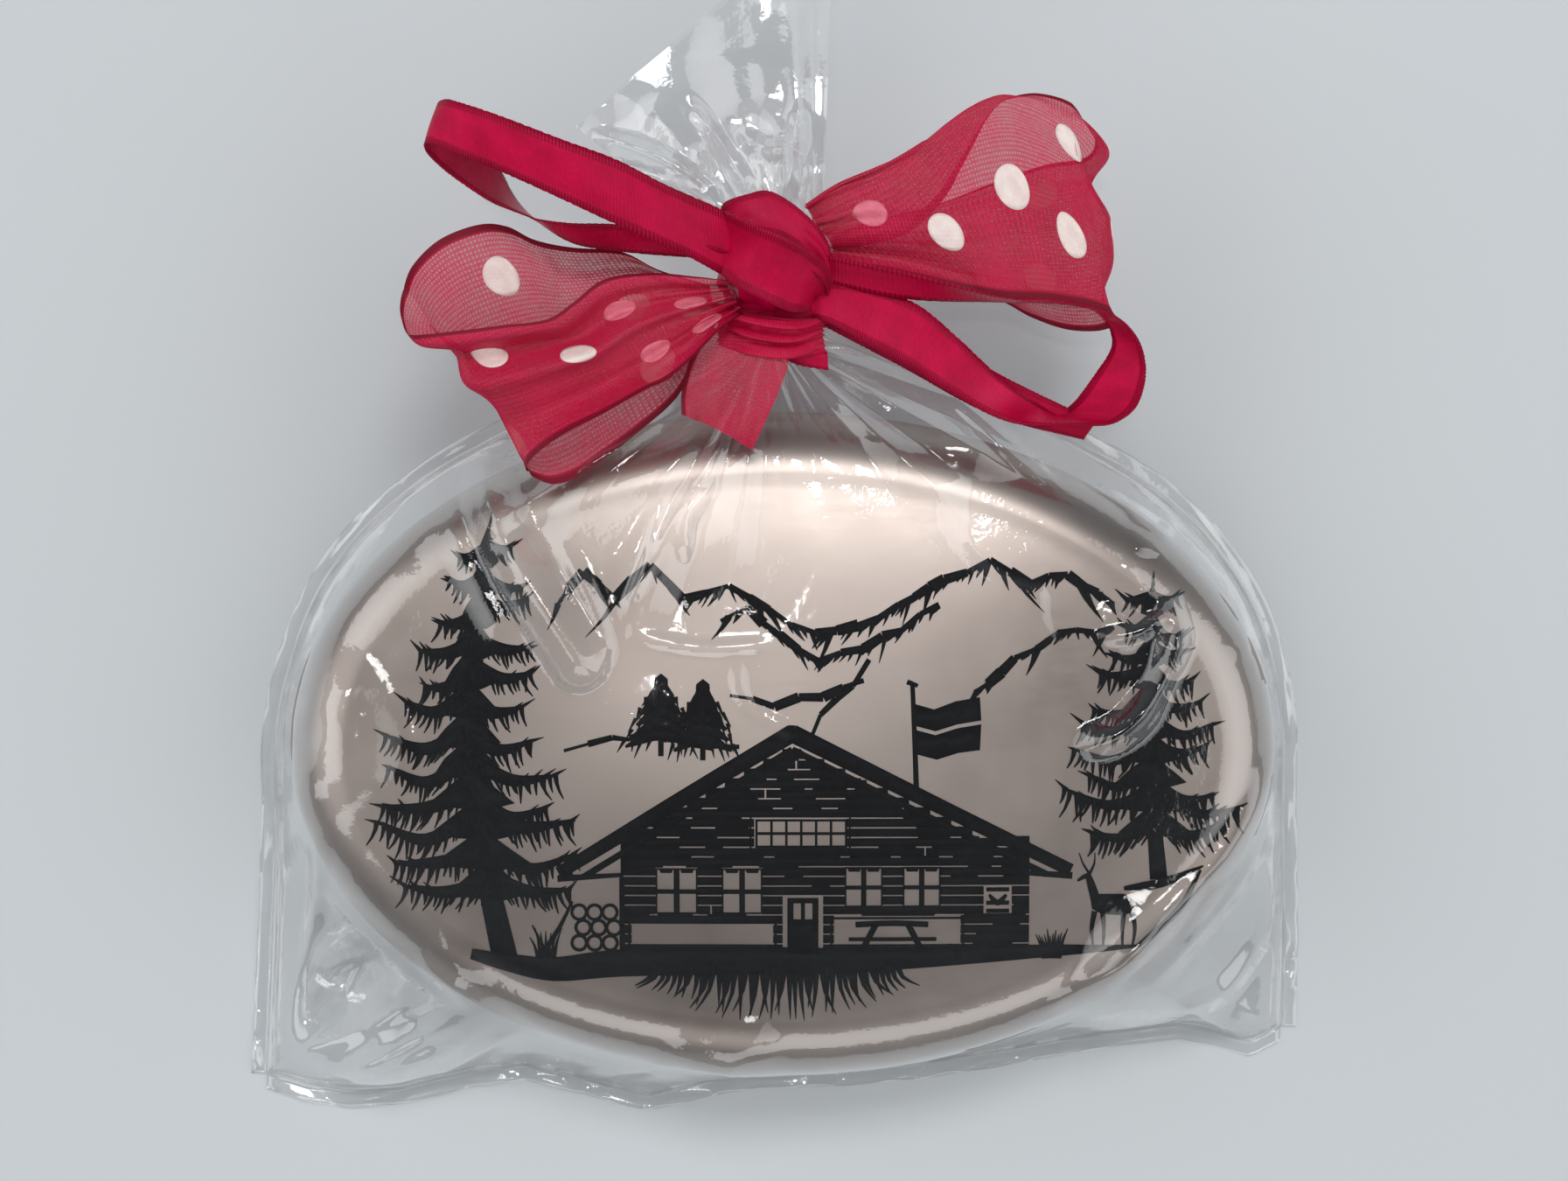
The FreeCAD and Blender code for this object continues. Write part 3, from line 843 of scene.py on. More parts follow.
@dataclass
class Picture:
    """An alpine hut between firs, printed in black on the soap's face.

    Each figure is drawn flat in millimetres, in a mesh of its own, and then laid on the dome.
    Strokes that cross lie at slightly different levels. lift is the print's height above the metal,
    ink its thickness and cell the size of the faces that follow the dome.
    """

    soap: Soap
    finishes: Finishes
    lift: float = 0.03
    ink: float = 0.03
    cell: float = 2.0
    level: float = 0.0
    level_step: float = 0.0037
    level_span: float = 0.04
    bm: Mesh | None = None

    def build(self) -> None:
        """Prints every figure as a piece of its own."""
        figures: dict[str, Callable[[], None]] = {
            "print_fir_left": lambda: self.fir((-20.6, -16.0), (-21.8, 16.4), 8.4, 12, 1, -2.2),
            "print_fir_right": lambda: self.fir((28.0, -9.8), (27.6, 12.0), 7.3, 10, 2),
            "print_fir_pair": self.fir_pair,
            "print_ridges": self.ridges,
            "print_hut": self.hut,
            "print_flag": self.flag,
            "print_woodpile": self.woodpile,
            "print_deer": self.deer,
            "print_ground": self.ground,
        }
        for name, draw in figures.items():
            self.bm = bmesh.new()
            draw()
            self.lay()
            thicken(finish_piece(self.bm, name, self.finishes.ink), "ink", self.ink)

    def lay(self) -> None:
        """Divides the large faces and lays the flat figure on the dome, facing up."""
        bm = self.bm
        for axis in (0, 1):
            low = min(vert.co[axis] for vert in bm.verts)
            high = max(vert.co[axis] for vert in bm.verts)
            normal = Vector((1, 0, 0)) if axis == 0 else Vector((0, 1, 0))
            for step in range(math.ceil(low / self.cell), math.floor(high / self.cell) + 1):
                bmesh.ops.bisect_plane(bm, geom=[*bm.verts, *bm.edges, *bm.faces], dist=0.0001,
                                       plane_co=normal * step * self.cell, plane_no=normal)
        for face in bm.faces:
            face.normal_update()
            if face.normal.z < 0:
                face.normal_flip()
        for vert in bm.verts:
            vert.co.z += self.soap.top(vert.co.x, vert.co.y) + self.lift

    def next_level(self) -> None:
        """Moves to the level of the next stroke."""
        self.level = (self.level + self.level_step) % self.level_span

    def patch(self, corners: Sequence[Flat]) -> None:
        """A filled figure inside an outline.

        Args:
            corners: of the outline, in order.
        """
        self.next_level()
        verts = [self.bm.verts.new((x, y, self.level)) for x, y in corners]
        edges = [self.bm.edges.new(pair) for pair in zip(verts, verts[1:] + verts[:1])]
        bmesh.ops.triangle_fill(self.bm, use_beauty=True, use_dissolve=False, edges=edges)

    def bar(self, left: float, right: float, low: float, high: float) -> None:
        """An upright rectangle."""
        if right - left > 0.05 and high - low > 0.05:
            self.patch(((left, low), (right, low), (right, high), (left, high)))

    def stroke(self, points: Sequence[Flat], start: float, end: float = 0.0,
               middle: float | None = None, steps: int = 0) -> None:
        """A pen stroke along a smooth line.

        Args:
            points: the line.
            start: its width where it starts.
            end: its width where it ends.
            middle: its width halfway, if it swells.
            steps: how many pieces it has.
        """
        self.next_level()
        route = Route([(x, y, self.level) for x, y in points])
        count = steps or max(3, 4 * (len(points) - 1))
        for vert, run, over in unit_grid(self.bm, count, 1):
            ahead = route.at(min(run + 0.02, 1)) - route.at(max(run - 0.02, 0))
            side = Vector((-ahead.y, ahead.x, 0)).normalized()
            width = start + (end - start) * run
            if middle is not None:
                width += (middle - (start + end) / 2) * math.sin(math.pi * run)
            vert.co = route.at(run) + side * (over - 0.5) * max(width, 0.02)

    def fir(self, foot: Flat, top: Flat, reach: float, tiers: int, seed: int,
            bend: float = -0.6) -> None:
        """A ragged fir: a bent trunk, drooping boughs and needles that hang from them.

        Args:
            foot: of the trunk.
            top: of the tree.
            reach: of the widest boughs.
            tiers: how many pairs of boughs.
            seed: which irregularities.
            bend: how far the trunk's middle stands aside.
        """
        draw = random.Random(seed)
        height = top[1] - foot[1]
        lean = (top[0] + foot[0]) / 2 + bend
        trunk = Route([(foot[0], foot[1], 0), (lean, foot[1] + height * 0.5, 0), (*top, 0)])
        self.stroke([tuple(trunk.at(i / 4))[:2] for i in range(5)], height * 0.06, 0.12,
                    steps=24)
        for tier in range(tiers):
            share = 0.97 - 0.83 * (tier + 0.3) / tiers
            root = trunk.at(share)
            spread = reach * (0.16 + 0.9 * (1 - share) ** 0.8)
            if tier == tiers - 1:
                spread *= 0.8
            pitch = height * 0.83 / tiers
            jag = draw.uniform(0.42, 0.52)
            self.patch(((root.x, root.y + pitch * 0.75), (root.x + spread * 0.3, root.y + 0.1),
                        (root.x + spread * jag, root.y - pitch * 0.42),
                        (root.x + spread * 0.18, root.y - pitch * 0.66),
                        (root.x - spread * 0.16, root.y - pitch * 0.6),
                        (root.x - spread * jag, root.y - pitch * 0.46),
                        (root.x - spread * 0.3, root.y + 0.1)))
            for side in (-1, 1):
                long = spread * draw.uniform(0.74, 1.14)
                droop = long * draw.uniform(0.1, 0.34)
                curl = long * draw.uniform(-0.02, 0.2)
                start = (root.x, root.y + draw.uniform(-0.6, 0.6))
                line = [start, (start[0] + side * long * 0.5, start[1] - droop),
                        (start[0] + side * long, start[1] - droop + curl)]
                bough = Route([(x, y, 0) for x, y in line])
                self.stroke(line, pitch * 0.5, 0.16, middle=pitch * 0.42, steps=12)
                count = int(long * 2.5) + 2
                for needle in range(count):
                    at = bough.at((needle + draw.uniform(0.1, 0.9)) / count)
                    length = draw.uniform(1.1, 2.1) * (0.5 + 0.5 * spread / reach)
                    swing = side * draw.uniform(0.0, 0.6) * length
                    self.stroke(((at.x, at.y + 0.1), (at.x + swing * 0.3, at.y - length * 0.5),
                                 (at.x + swing, at.y - length)), 0.42, 0.08, steps=3)
                for needle in range(4):
                    at = bough.at(0.6 + 0.12 * needle)
                    self.stroke(((at.x, at.y), (at.x + side * draw.uniform(0.5, 1.2),
                                                at.y + draw.uniform(0.2, 0.8))), 0.34, 0.05)
        self.stroke((top, (top[0] + 0.1, top[1] + 1.1)), 0.3, 0.05)

    def fir_pair(self) -> None:
        """Two small round firs behind the hut."""
        draw = random.Random(12)
        for middle, foot, top, wide in ((-9.0, 0.6, 4.6, 2.2), (-5.9, 0.3, 4.2, 2.0)):
            for tier in range(6):
                share = tier / 5
                y = top - (top - foot) * share
                half = 0.35 + wide * share ** 0.7 * draw.uniform(0.9, 1.05)
                self.stroke(((middle - half, y - 0.5), (middle, y + 0.45),
                             (middle + half, y - 0.5)), 0.2, 0.2, middle=0.95, steps=8)
                for side in (-1, 1):
                    for tip in range(4):
                        x = middle + side * half * (0.3 + 0.24 * tip)
                        self.stroke(((x, y), (x + side * draw.uniform(0.1, 0.7),
                                              y - draw.uniform(0.7, 1.4))), 0.32, 0.05)
            self.stroke(((middle, top), (middle, foot - 1.2)), 0.5, 0.4)

    def ridge(self, points: Sequence[Flat], seed: int, rocky: float = 1.0) -> None:
        """A jagged mountain line with short strokes of shade falling from it.

        Args:
            points: the line.
            seed: which irregularities.
            rocky: how long the strokes of shade are.
        """
        draw = random.Random(seed)
        jagged = []
        for (ax, ay), (bx, by) in zip(points, points[1:]):
            pieces = max(1, int(math.hypot(bx - ax, by - ay) / 1.3))
            for piece in range(pieces):
                share = piece / pieces
                jagged.append((ax + (bx - ax) * share,
                               ay + (by - ay) * share + draw.uniform(-0.22, 0.22)))
        jagged.append(points[-1])
        for index, (first, second) in enumerate(zip(jagged, jagged[1:])):
            width = draw.uniform(0.42, 0.85) * (0.5 if index in (0, len(jagged) - 2) else 1)
            self.stroke((first, second), width, width * draw.uniform(0.6, 1.2), steps=3)
            for hatch in range(3 if rocky else 0):
                share = (hatch + draw.random()) / 3
                x = first[0] + (second[0] - first[0]) * share
                y = first[1] + (second[1] - first[1]) * share
                long = rocky * draw.uniform(0.4, 1.2 if (index + hatch) % 4 else 2.6)
                lean = draw.uniform(0.2, 0.8) * (1 if second[1] < first[1] else -1)
                self.stroke(((x, y), (x + lean * long * 0.4, y - long * 0.5),
                             (x + lean * long, y - long)),
                            draw.uniform(0.3, 0.7), 0.05, steps=4)

    def ridges(self) -> None:
        """The high range, the nearer slopes and the paths down to the hut."""
        self.ridge(((-16.8, 10.6), (-14.8, 13.0), (-12.4, 11.2), (-9.8, 13.4), (-7.2, 11.0),
                    (-4.0, 12.2), (-1.0, 10.2), (2.4, 8.4), (5.6, 9.2), (8.6, 10.4),
                    (12.0, 12.4), (15.4, 14.0), (18.4, 12.2), (21.2, 12.9), (24.6, 10.6)),
                   21, 1.2)
        self.ridge(((-4.6, 9.2), (-2.6, 10.6), (-0.2, 8.2), (2.6, 6.6), (6.0, 7.4),
                    (8.8, 8.8), (11.6, 10.6)), 22, 0.9)
        self.ridge(((-16.2, -0.4), (-12.6, 0.6), (-10.0, 1.0), (-7.0, 0.5), (-3.2, 0.1)), 23, 0.0)
        self.ridge(((-3.9, 3.8), (-0.6, 3.2), (3.0, 3.9), (6.0, 5.0)), 24, 0.0)
        self.ridge(((6.4, 6.6), (5.2, 4.4), (2.8, 2.6), (2.2, 1.0)), 25, 0.0)
        self.ridge(((14.2, 4.0), (17.2, 6.6), (20.4, 8.4), (24.6, 9.0)), 26, 0.8)

    def roof_line(self, x: float) -> float:
        """Height of the underside of the roof at a place across the hut."""
        fall = ROOF_FALL_LEFT if x < HUT_RIDGE else ROOF_FALL_RIGHT
        return HUT_UNDER_ROOF - abs(x - HUT_RIDGE) * fall

    def hut(self) -> None:
        """A log hut under a wide gable roof."""
        self.roof()
        self.logs()
        self.openings()

    def roof(self) -> None:
        """The gable's two edges with their rafters, and the cap on the ridge."""
        peak, inner = (HUT_RIDGE, 1.1), (HUT_RIDGE, -0.1)
        self.stroke(((-16.6, -9.3), (-7.9, -4.0), peak), 0.95, 1.35, steps=16)
        self.stroke((peak, (11.0, -4.0), (21.4, -9.1)), 1.35, 0.95, steps=16)
        self.stroke(((-14.8, -9.6), (-7.5, -5.1), inner), 0.5, 0.5, steps=16)
        self.stroke((inner, (10.6, -5.0), (19.6, -9.4)), 0.5, 0.5, steps=16)
        self.stroke(((-16.7, -9.7), (-11.8, -9.4)), 0.5, 0.3)
        self.stroke(((21.5, -9.5), (16.8, -9.2)), 0.5, 0.3)
        self.patch(((-0.3, 0.6), (1.7, 0.6), (0.9, 1.7), (0.4, 1.7)))

    def logs(self) -> None:
        """The wall's logs with the light gaps between them, broken off at the openings."""
        row, gap = 0.72, 0.1
        levels = int((HUT_UNDER_ROOF - HUT_FOOT) / row)
        draw = random.Random(31)
        for level in range(levels):
            low = HUT_FOOT + level * row
            high = low + row - gap
            left, right = HUT_LEFT, HUT_RIGHT
            if high > self.roof_line(left):
                span = HUT_UNDER_ROOF - high
                left = max(left, HUT_RIDGE - span / ROOF_FALL_LEFT)
                right = min(right, HUT_RIDGE + span / ROOF_FALL_RIGHT)
            breaks = [(a, b) for a, b, c, d in OPENINGS if c < (low + high) / 2 < d]
            if level % 3 == 1:
                nick = draw.uniform(left + 2, right - 2)
                breaks.append((nick, nick + 0.12))
            at = left
            for a, b in sorted(breaks):
                if a > at:
                    self.bar(at, min(a, right), low, high)
                at = max(at, b)
            self.bar(at, right, low, high)
            at = left
            while at < right:
                shut = min(at + draw.uniform(1.2, 5.5), right)
                if not any(a < shut and b > at and c < high < d for a, b, c, d in OPENINGS):
                    self.bar(at, shut, high - 0.03, high + gap + 0.03)
                at = shut + draw.uniform(0.5, 2.2)

    def openings(self) -> None:
        """The windows, the door, the carved panel and what stands before the wall."""
        for opening in OPENINGS[:4]:
            self.window(*opening)
        for pane in range(6):
            left = -1.85 + pane * 1.1
            for low, high in ((-7.2, -6.42), (-6.2, -5.42)):
                self.frame(left, left + 0.95, low, high, 0.17)
        self.frame(-2.3, 4.9, -7.55, -5.05, 0.14)
        for left, right in ((-11.3, -0.6), (3.7, 13.3)):
            self.frame(left, right, -14.8, -12.7, 0.16)
        self.door()
        self.bench()
        for line in (-10.5, -11.5, -12.1):
            self.bar(15.1, 16.8, line - 0.15, line + 0.15)
        self.stroke(((15.3, -10.9), (15.95, -11.5), (16.6, -10.9)), 0.2, 0.2, middle=0.45)

    def frame(self, left: float, right: float, low: float, high: float, width: float) -> None:
        """A rectangular frame of four bars.

        Args:
            left: of the opening.
            right: of the opening.
            low: of the opening.
            high: of the opening.
            width: of a bar.
        """
        self.bar(left - width, right + width, high, high + width)
        self.bar(left - width, right + width, low - width, low)
        self.bar(left - width, left, low, high)
        self.bar(right, right + width, low, high)

    def window(self, left: float, right: float, low: float, high: float) -> None:
        """Two pairs of panes with bars between them.

        Args:
            left: of the opening.
            right: of the opening.
            low: of the opening.
            high: of the opening.
        """
        wide, tall = right - left, high - low
        self.frame(left + 0.12, right - 0.12, low + 0.12, high - 0.12, 0.12)
        self.bar(left + wide * 0.43, left + wide * 0.57, low, high)
        self.bar(left, right, low + tall * 0.44, low + tall * 0.54)
        for middle in (0.25, 0.75):
            x = left + wide * middle
            self.patch(((x - 0.55, high), (x + 0.55, high), (x + 0.4, high - 0.35),
                        (x - 0.4, high - 0.35)))

    def door(self) -> None:
        """The door in its light frame, with two panes."""
        self.bar(0.35, 2.65, -15.3, -12.7)
        for left, right in ((0.35, 0.8), (1.35, 1.65), (2.2, 2.65)):
            self.bar(left, right, -12.7, -11.5)
        self.bar(0.35, 2.65, -11.5, -11.1)
        self.bar(-0.4, 3.4, -10.7, -10.3)

    def bench(self) -> None:
        """A bench and a table under the window."""
        self.stroke(((5.4, -13.1), (8.1, -13.0), (10.8, -13.1)), 0.42, 0.42)
        for x, lean in ((6.9, -1.0), (9.3, 1.0)):
            self.stroke(((x, -13.1), (x + lean, -15.0)), 0.45, 0.45)
        self.stroke(((4.9, -14.2), (11.4, -14.2)), 0.28, 0.28)

    def flag(self) -> None:
        """A plain flag that waves from a pole on the slope."""
        self.stroke(((9.6, 4.8), (9.8, -0.5), (9.9, -3.4)), 0.34, 0.42, steps=10)
        upper = [(9.8, 3.4), (11.2, 3.0), (12.8, 3.6), (14.6, 3.9)]
        middle = [(9.8, 1.5), (11.3, 1.1), (12.9, 1.6), (14.7, 1.9)]
        lower = [(9.9, -0.6), (11.4, -1.0), (13.0, -0.5), (14.6, -0.3)]
        for top, low in ((upper, middle), (middle, lower)):
            self.patch([(x, y - 0.14) for x, y in top]
                       + [(x, y + 0.14) for x, y in reversed(low)])
        self.stroke(((9.2, 4.9), (10.0, 4.6)), 0.4, 0.3)

    def woodpile(self) -> None:
        """Stacked logs seen on end, beside the hut."""
        for line in range(3):
            for log in range(3):
                x, y = -15.1 + log * 1.15 + 0.3 * (line % 2), -14.5 + line * 1.15
                ring = [(x + 0.55 * math.cos(a), y + 0.55 * math.sin(a))
                        for a in (2 * math.pi * i / 8 for i in range(9))]
                self.stroke(ring, 0.24, 0.24, steps=16)
        self.stroke(((-18.0, -15.6), (-16.6, -13.4), (-15.6, -11.4)), 0.45, 0.2)
        self.stroke(((-18.6, -13.2), (-18.0, -14.4), (-17.4, -15.6)), 0.1, 0.35)
        self.bar(-12.1, -11.7, -15.3, -9.6)

    def deer(self) -> None:
        """A small deer that grazes at the edge of the wood."""
        self.patch(((22.9, -11.2), (23.6, -10.9), (25.4, -10.9), (26.2, -11.4), (26.2, -12.3),
                    (25.2, -12.5), (23.7, -12.4), (23.0, -12.0)))
        self.stroke(((23.3, -11.4), (22.9, -10.1), (22.7, -9.5)), 0.75, 0.4)
        self.stroke(((22.9, -9.5), (22.4, -9.6), (21.9, -9.9)), 0.5, 0.15)
        for x, lean in ((23.2, -0.2), (23.8, 0.1), (25.4, -0.1), (26.0, 0.25)):
            self.stroke(((x, -12.2), (x + lean, -13.5), (x + lean * 0.5, -14.9)), 0.42, 0.14)
        for lean in (-0.5, 0.35):
            self.stroke(((22.8, -9.4), (22.8 + lean, -8.6), (22.7 + lean * 1.4, -7.8)), 0.2, 0.05)
        self.stroke(((26.2, -11.5), (26.7, -12.0)), 0.3, 0.1)

    def ground(self) -> None:
        """The earth under the hut with its grass."""
        self.stroke(((25.4, -10.5), (28.2, -10.1), (31.4, -8.9)), 0.3, 0.1, middle=0.7)
        self.stroke(((31.2, -9.2), (29.6, -12.2), (26.6, -14.9)), 0.15, 0.3, middle=0.5)
        self.stroke(((-23.2, -15.4), (-20.5, -16.0), (-17.0, -16.5), (-12.0, -16.0), (-4.0, -15.8),
                     (4.0, -15.8), (12.0, -15.5), (20.6, -15.1), (26.8, -14.9)), 0.8, 0.15,
                    middle=2.1, steps=40)
        draw = random.Random(41)
        for blade in range(46):
            share = blade / 45
            x = -9.5 + 18.0 * share
            lean = (share - 0.5) * 1.6 + draw.uniform(-0.5, 0.5)
            long = 1.3 + 2.9 * math.sin(math.pi * share) * draw.uniform(0.6, 1.0)
            self.stroke(((x, -16.0), (x + lean * 0.4, -16.4 - long * 0.5),
                         (x + lean * 1.6, -16.4 - long)), 0.55, 0.05, steps=4)
        for middle, count, tall in ((20.0, 12, 2.2), (-17.6, 7, 2.0), (13.6, 6, 0.9)):
            for blade in range(count):
                lean = (blade / (count - 1) - 0.5) * 2.4
                long = tall * draw.uniform(0.6, 1.0)
                self.stroke(((middle + lean * 0.5, -15.7), (middle + lean * 0.7, -15.4 + long / 2),
                             (middle + lean, -15.4 + long)), 0.3, 0.05, steps=4)


# ------------------------------------------------------------------ film bag


# The bag's two sides, from the bottom fold to the neck.
SIDE_LEFT = [(-41.3, -27.0, 0.0), (-41.0, -20.0, 0.0), (-40.4, -8.0, 0.6), (-39.6, 3.0, 2.5),
             (-35.4, 13.0, 5.0), (-27.6, 20.3, 7.5), (-16.0, 26.2, 9.5), (-5.0, 31.0, 11.0)]
SIDE_RIGHT = [(39.8, -23.2, 0.0), (40.0, -17.0, 0.0), (39.8, -7.0, 0.6), (39.2, 3.5, 2.5),
              (35.6, 12.5, 5.0), (28.0, 20.0, 7.5), (15.0, 26.3, 9.5), (3.0, 31.0, 11.0)]
# How far the bottom fold is drawn up or let down, by its share from left to right.
FOLD_WAVE = [(0.0, 0.0), (0.04, -0.8), (0.08, -1.2), (0.13, -0.7), (0.2, 0.9), (0.254, 1.6),
             (0.31, 0.6), (0.375, -0.8), (0.43, 0.2), (0.485, 0.9), (0.56, 0.6), (0.647, 0.7),
             (0.71, 1.0), (0.773, 1.3), (0.85, 1.5), (0.9, 1.4), (0.94, 0.3), (0.97, -0.9),
             (1.0, 0.0)]


@dataclass(frozen=True)
class Fold:
    """A ridge in the film along a smooth line.

    A sharpness below 1 gives a round pleat, above 1 a thin crease. A blunt fold keeps its height
    at its end, where the others fade out.
    """

    path: Sequence[Flat]
    rise: float
    half: float
    sharp: float = 1.1
    blunt: bool = False


# Where the front wall's panels meet, and the height of each ridge by its direction in degrees.
NECK_FAN = (-1.0, 31.0)
NECK_PANELS = [(-180, 0.0), (-88, 0.2), (-76, 0.9), (-66, 0.2), (-56, 0.8), (-46, 0.15),
               (-35, 0.6), (-29, 0.1), (-24, 1.1), (-18, 0.1), (-9, 1.0), (-2, 0.35), (20, 0.6),
               (38, 0.45), (46, 1.4), (53, 0.4), (60, 1.5), (65, 0.5), (71, 1.1), (82, 0.2),
               (180, 0.0)]
FRONT_FOLDS = [
    Fold([(-23.4, 24.0), (-20.6, 15.5), (-15.0, 6.4)], 2.2, 2.3, 0.6, True),
    Fold([(-16.5, 15.5), (-13.8, 10.0), (-12.4, 5.6)], 0.8, 1.0, 1.2),
    Fold([(-25.5, 18.0), (-22.5, 12.0), (-20.0, 7.5)], 0.5, 1.6, 1.2),
    Fold([(29.0, 12.2), (28.9, 6.6), (25.6, 1.6), (20.6, -0.4)], 1.9, 1.5, 0.7),
    Fold([(30.6, 14.2), (29.6, 11.0), (26.4, 8.6), (22.2, 8.0)], 0.7, 0.9, 1.1),
    Fold([(24.0, 16.4), (26.0, 12.8), (28.6, 10.2)], 0.6, 0.8, 1.1),
    Fold([(11.5, 27.5), (18.0, 22.0), (23.6, 16.8)], 0.9, 0.9, 1.1),
    Fold([(12.8, 25.6), (18.0, 21.0), (23.0, 16.6)], 0.7, 0.7, 1.1),
    Fold([(21.5, 20.4), (26.0, 18.0), (30.5, 14.8)], 0.8, 0.9, 1.1),
    Fold([(33.0, 18.0), (36.5, 12.5), (38.0, 6.0)], 0.5, 0.8, 1.1),
    Fold([(38.2, 0.5), (33.5, -7.5), (27.0, -14.2), (17.5, -21.3)], 1.1, 1.5, 0.9),
    Fold([(38.5, -5.0), (33.5, -12.5), (27.0, -18.5)], 0.8, 1.2, 1.1),
    Fold([(39.0, -14.0), (34.5, -19.5), (29.0, -21.0)], 0.8, 1.3, 1.0),
    Fold([(-6.0, 21.0), (-9.0, 15.0), (-11.8, 9.5)], 0.6, 0.8, 1.1),
    Fold([(-8.6, 18.8), (-10.2, 14.0), (-11.4, 10.2)], 0.5, 0.55, 1.1),
    Fold([(-4.6, 20.0), (-7.0, 17.0), (-7.0, 13.4)], 0.6, 0.8, 1.1),
    Fold([(-12.0, 8.6), (-6.0, 7.4), (0.4, 7.8)], 0.45, 0.9, 1.2),
    Fold([(-3.6, 7.2), (-2.6, 3.2), (2.0, 0.6)], 0.35, 0.9, 1.2),
    Fold([(-3.0, 28.0), (-12.0, 22.5), (-24.0, 15.0)], 0.7, 1.2, 1.2),
    Fold([(-34.5, -6.0), (-36.5, -14.0), (-38.5, -23.5)], 1.0, 1.2, 1.1),
    Fold([(-32.4, -10.5), (-28.0, -15.8), (-22.4, -20.0)], 0.7, 1.1, 0.9),
    Fold([(-25.0, -18.5), (-31.0, -21.5), (-39.0, -25.5)], 1.0, 1.1, 1.1),
    Fold([(-24.0, -20.5), (-30.0, -24.0), (-36.0, -27.0)], 0.8, 0.9, 1.1),
    Fold([(-19.0, -21.0), (-24.0, -24.5), (-29.0, -27.8)], 0.8, 1.0, 1.1),
    Fold([(-8.0, -24.0), (-14.0, -26.5), (-20.0, -28.2)], 0.6, 0.9, 1.1),
    Fold([(6.0, -24.5), (9.0, -26.5), (15.0, -28.0)], 0.6, 1.0, 1.1),
]
# Crumpled patches: middle, reach, creases, height and which creases.
FRONT_CRUMPLES = [
    ((-30.0, -21.0), 9.0, 12, 2.6, 3),
    ((-36.0, -20.0), 13.0, 9, 2.0, 14),
    ((32.0, -18.0), 11.0, 11, 2.2, 4),
    ((0.0, -27.0), 12.0, 9, 1.2, 5),
    ((-37.0, 0.0), 10.0, 9, 1.6, 6),
    ((-24.0, 21.0), 10.0, 10, 1.6, 7),
    ((19.0, 22.0), 11.0, 10, 1.6, 8),
    ((34.0, 9.0), 10.0, 9, 1.5, 9),
    ((-8.0, 16.0), 11.0, 9, 0.6, 10),
    ((26.0, 11.0), 7.0, 10, 1.2, 12),
    ((0.0, 0.0), 48.0, 12, 0.25, 11),
]
# The mouth's two far corners, and the crown's creases and crumpled patches: middle, reach, height.
CROWN_CORNERS = ((-16.0, 47.5), (4.0, 64.5))
CROWN_FOLDS = [
    Fold([(-15.5, 47.3), (-10.0, 45.0), (-4.5, 41.5)], 1.1, 1.1, 1.1),
    Fold([(-8.0, 50.0), (-4.5, 45.5), (-2.0, 41.0)], 0.9, 1.0, 1.1),
    Fold([(1.5, 49.0), (0.8, 44.5), (0.0, 40.5)], 1.0, 1.0, 1.1),
    Fold([(-13.0, 44.5), (-8.0, 42.5), (-4.0, 40.5)], 0.8, 0.9, 1.1),
    Fold([(-3.8, 47.0), (-0.6, 45.2), (2.6, 46.2)], 0.7, 1.0, 1.0),
]
CROWN_CRUMPLES = [((-11.0, 45.0), 6.0, 0.8), ((-1.0, 43.0), 6.5, 1.0), ((-2.0, 52.0), 12.0, 0.6)]


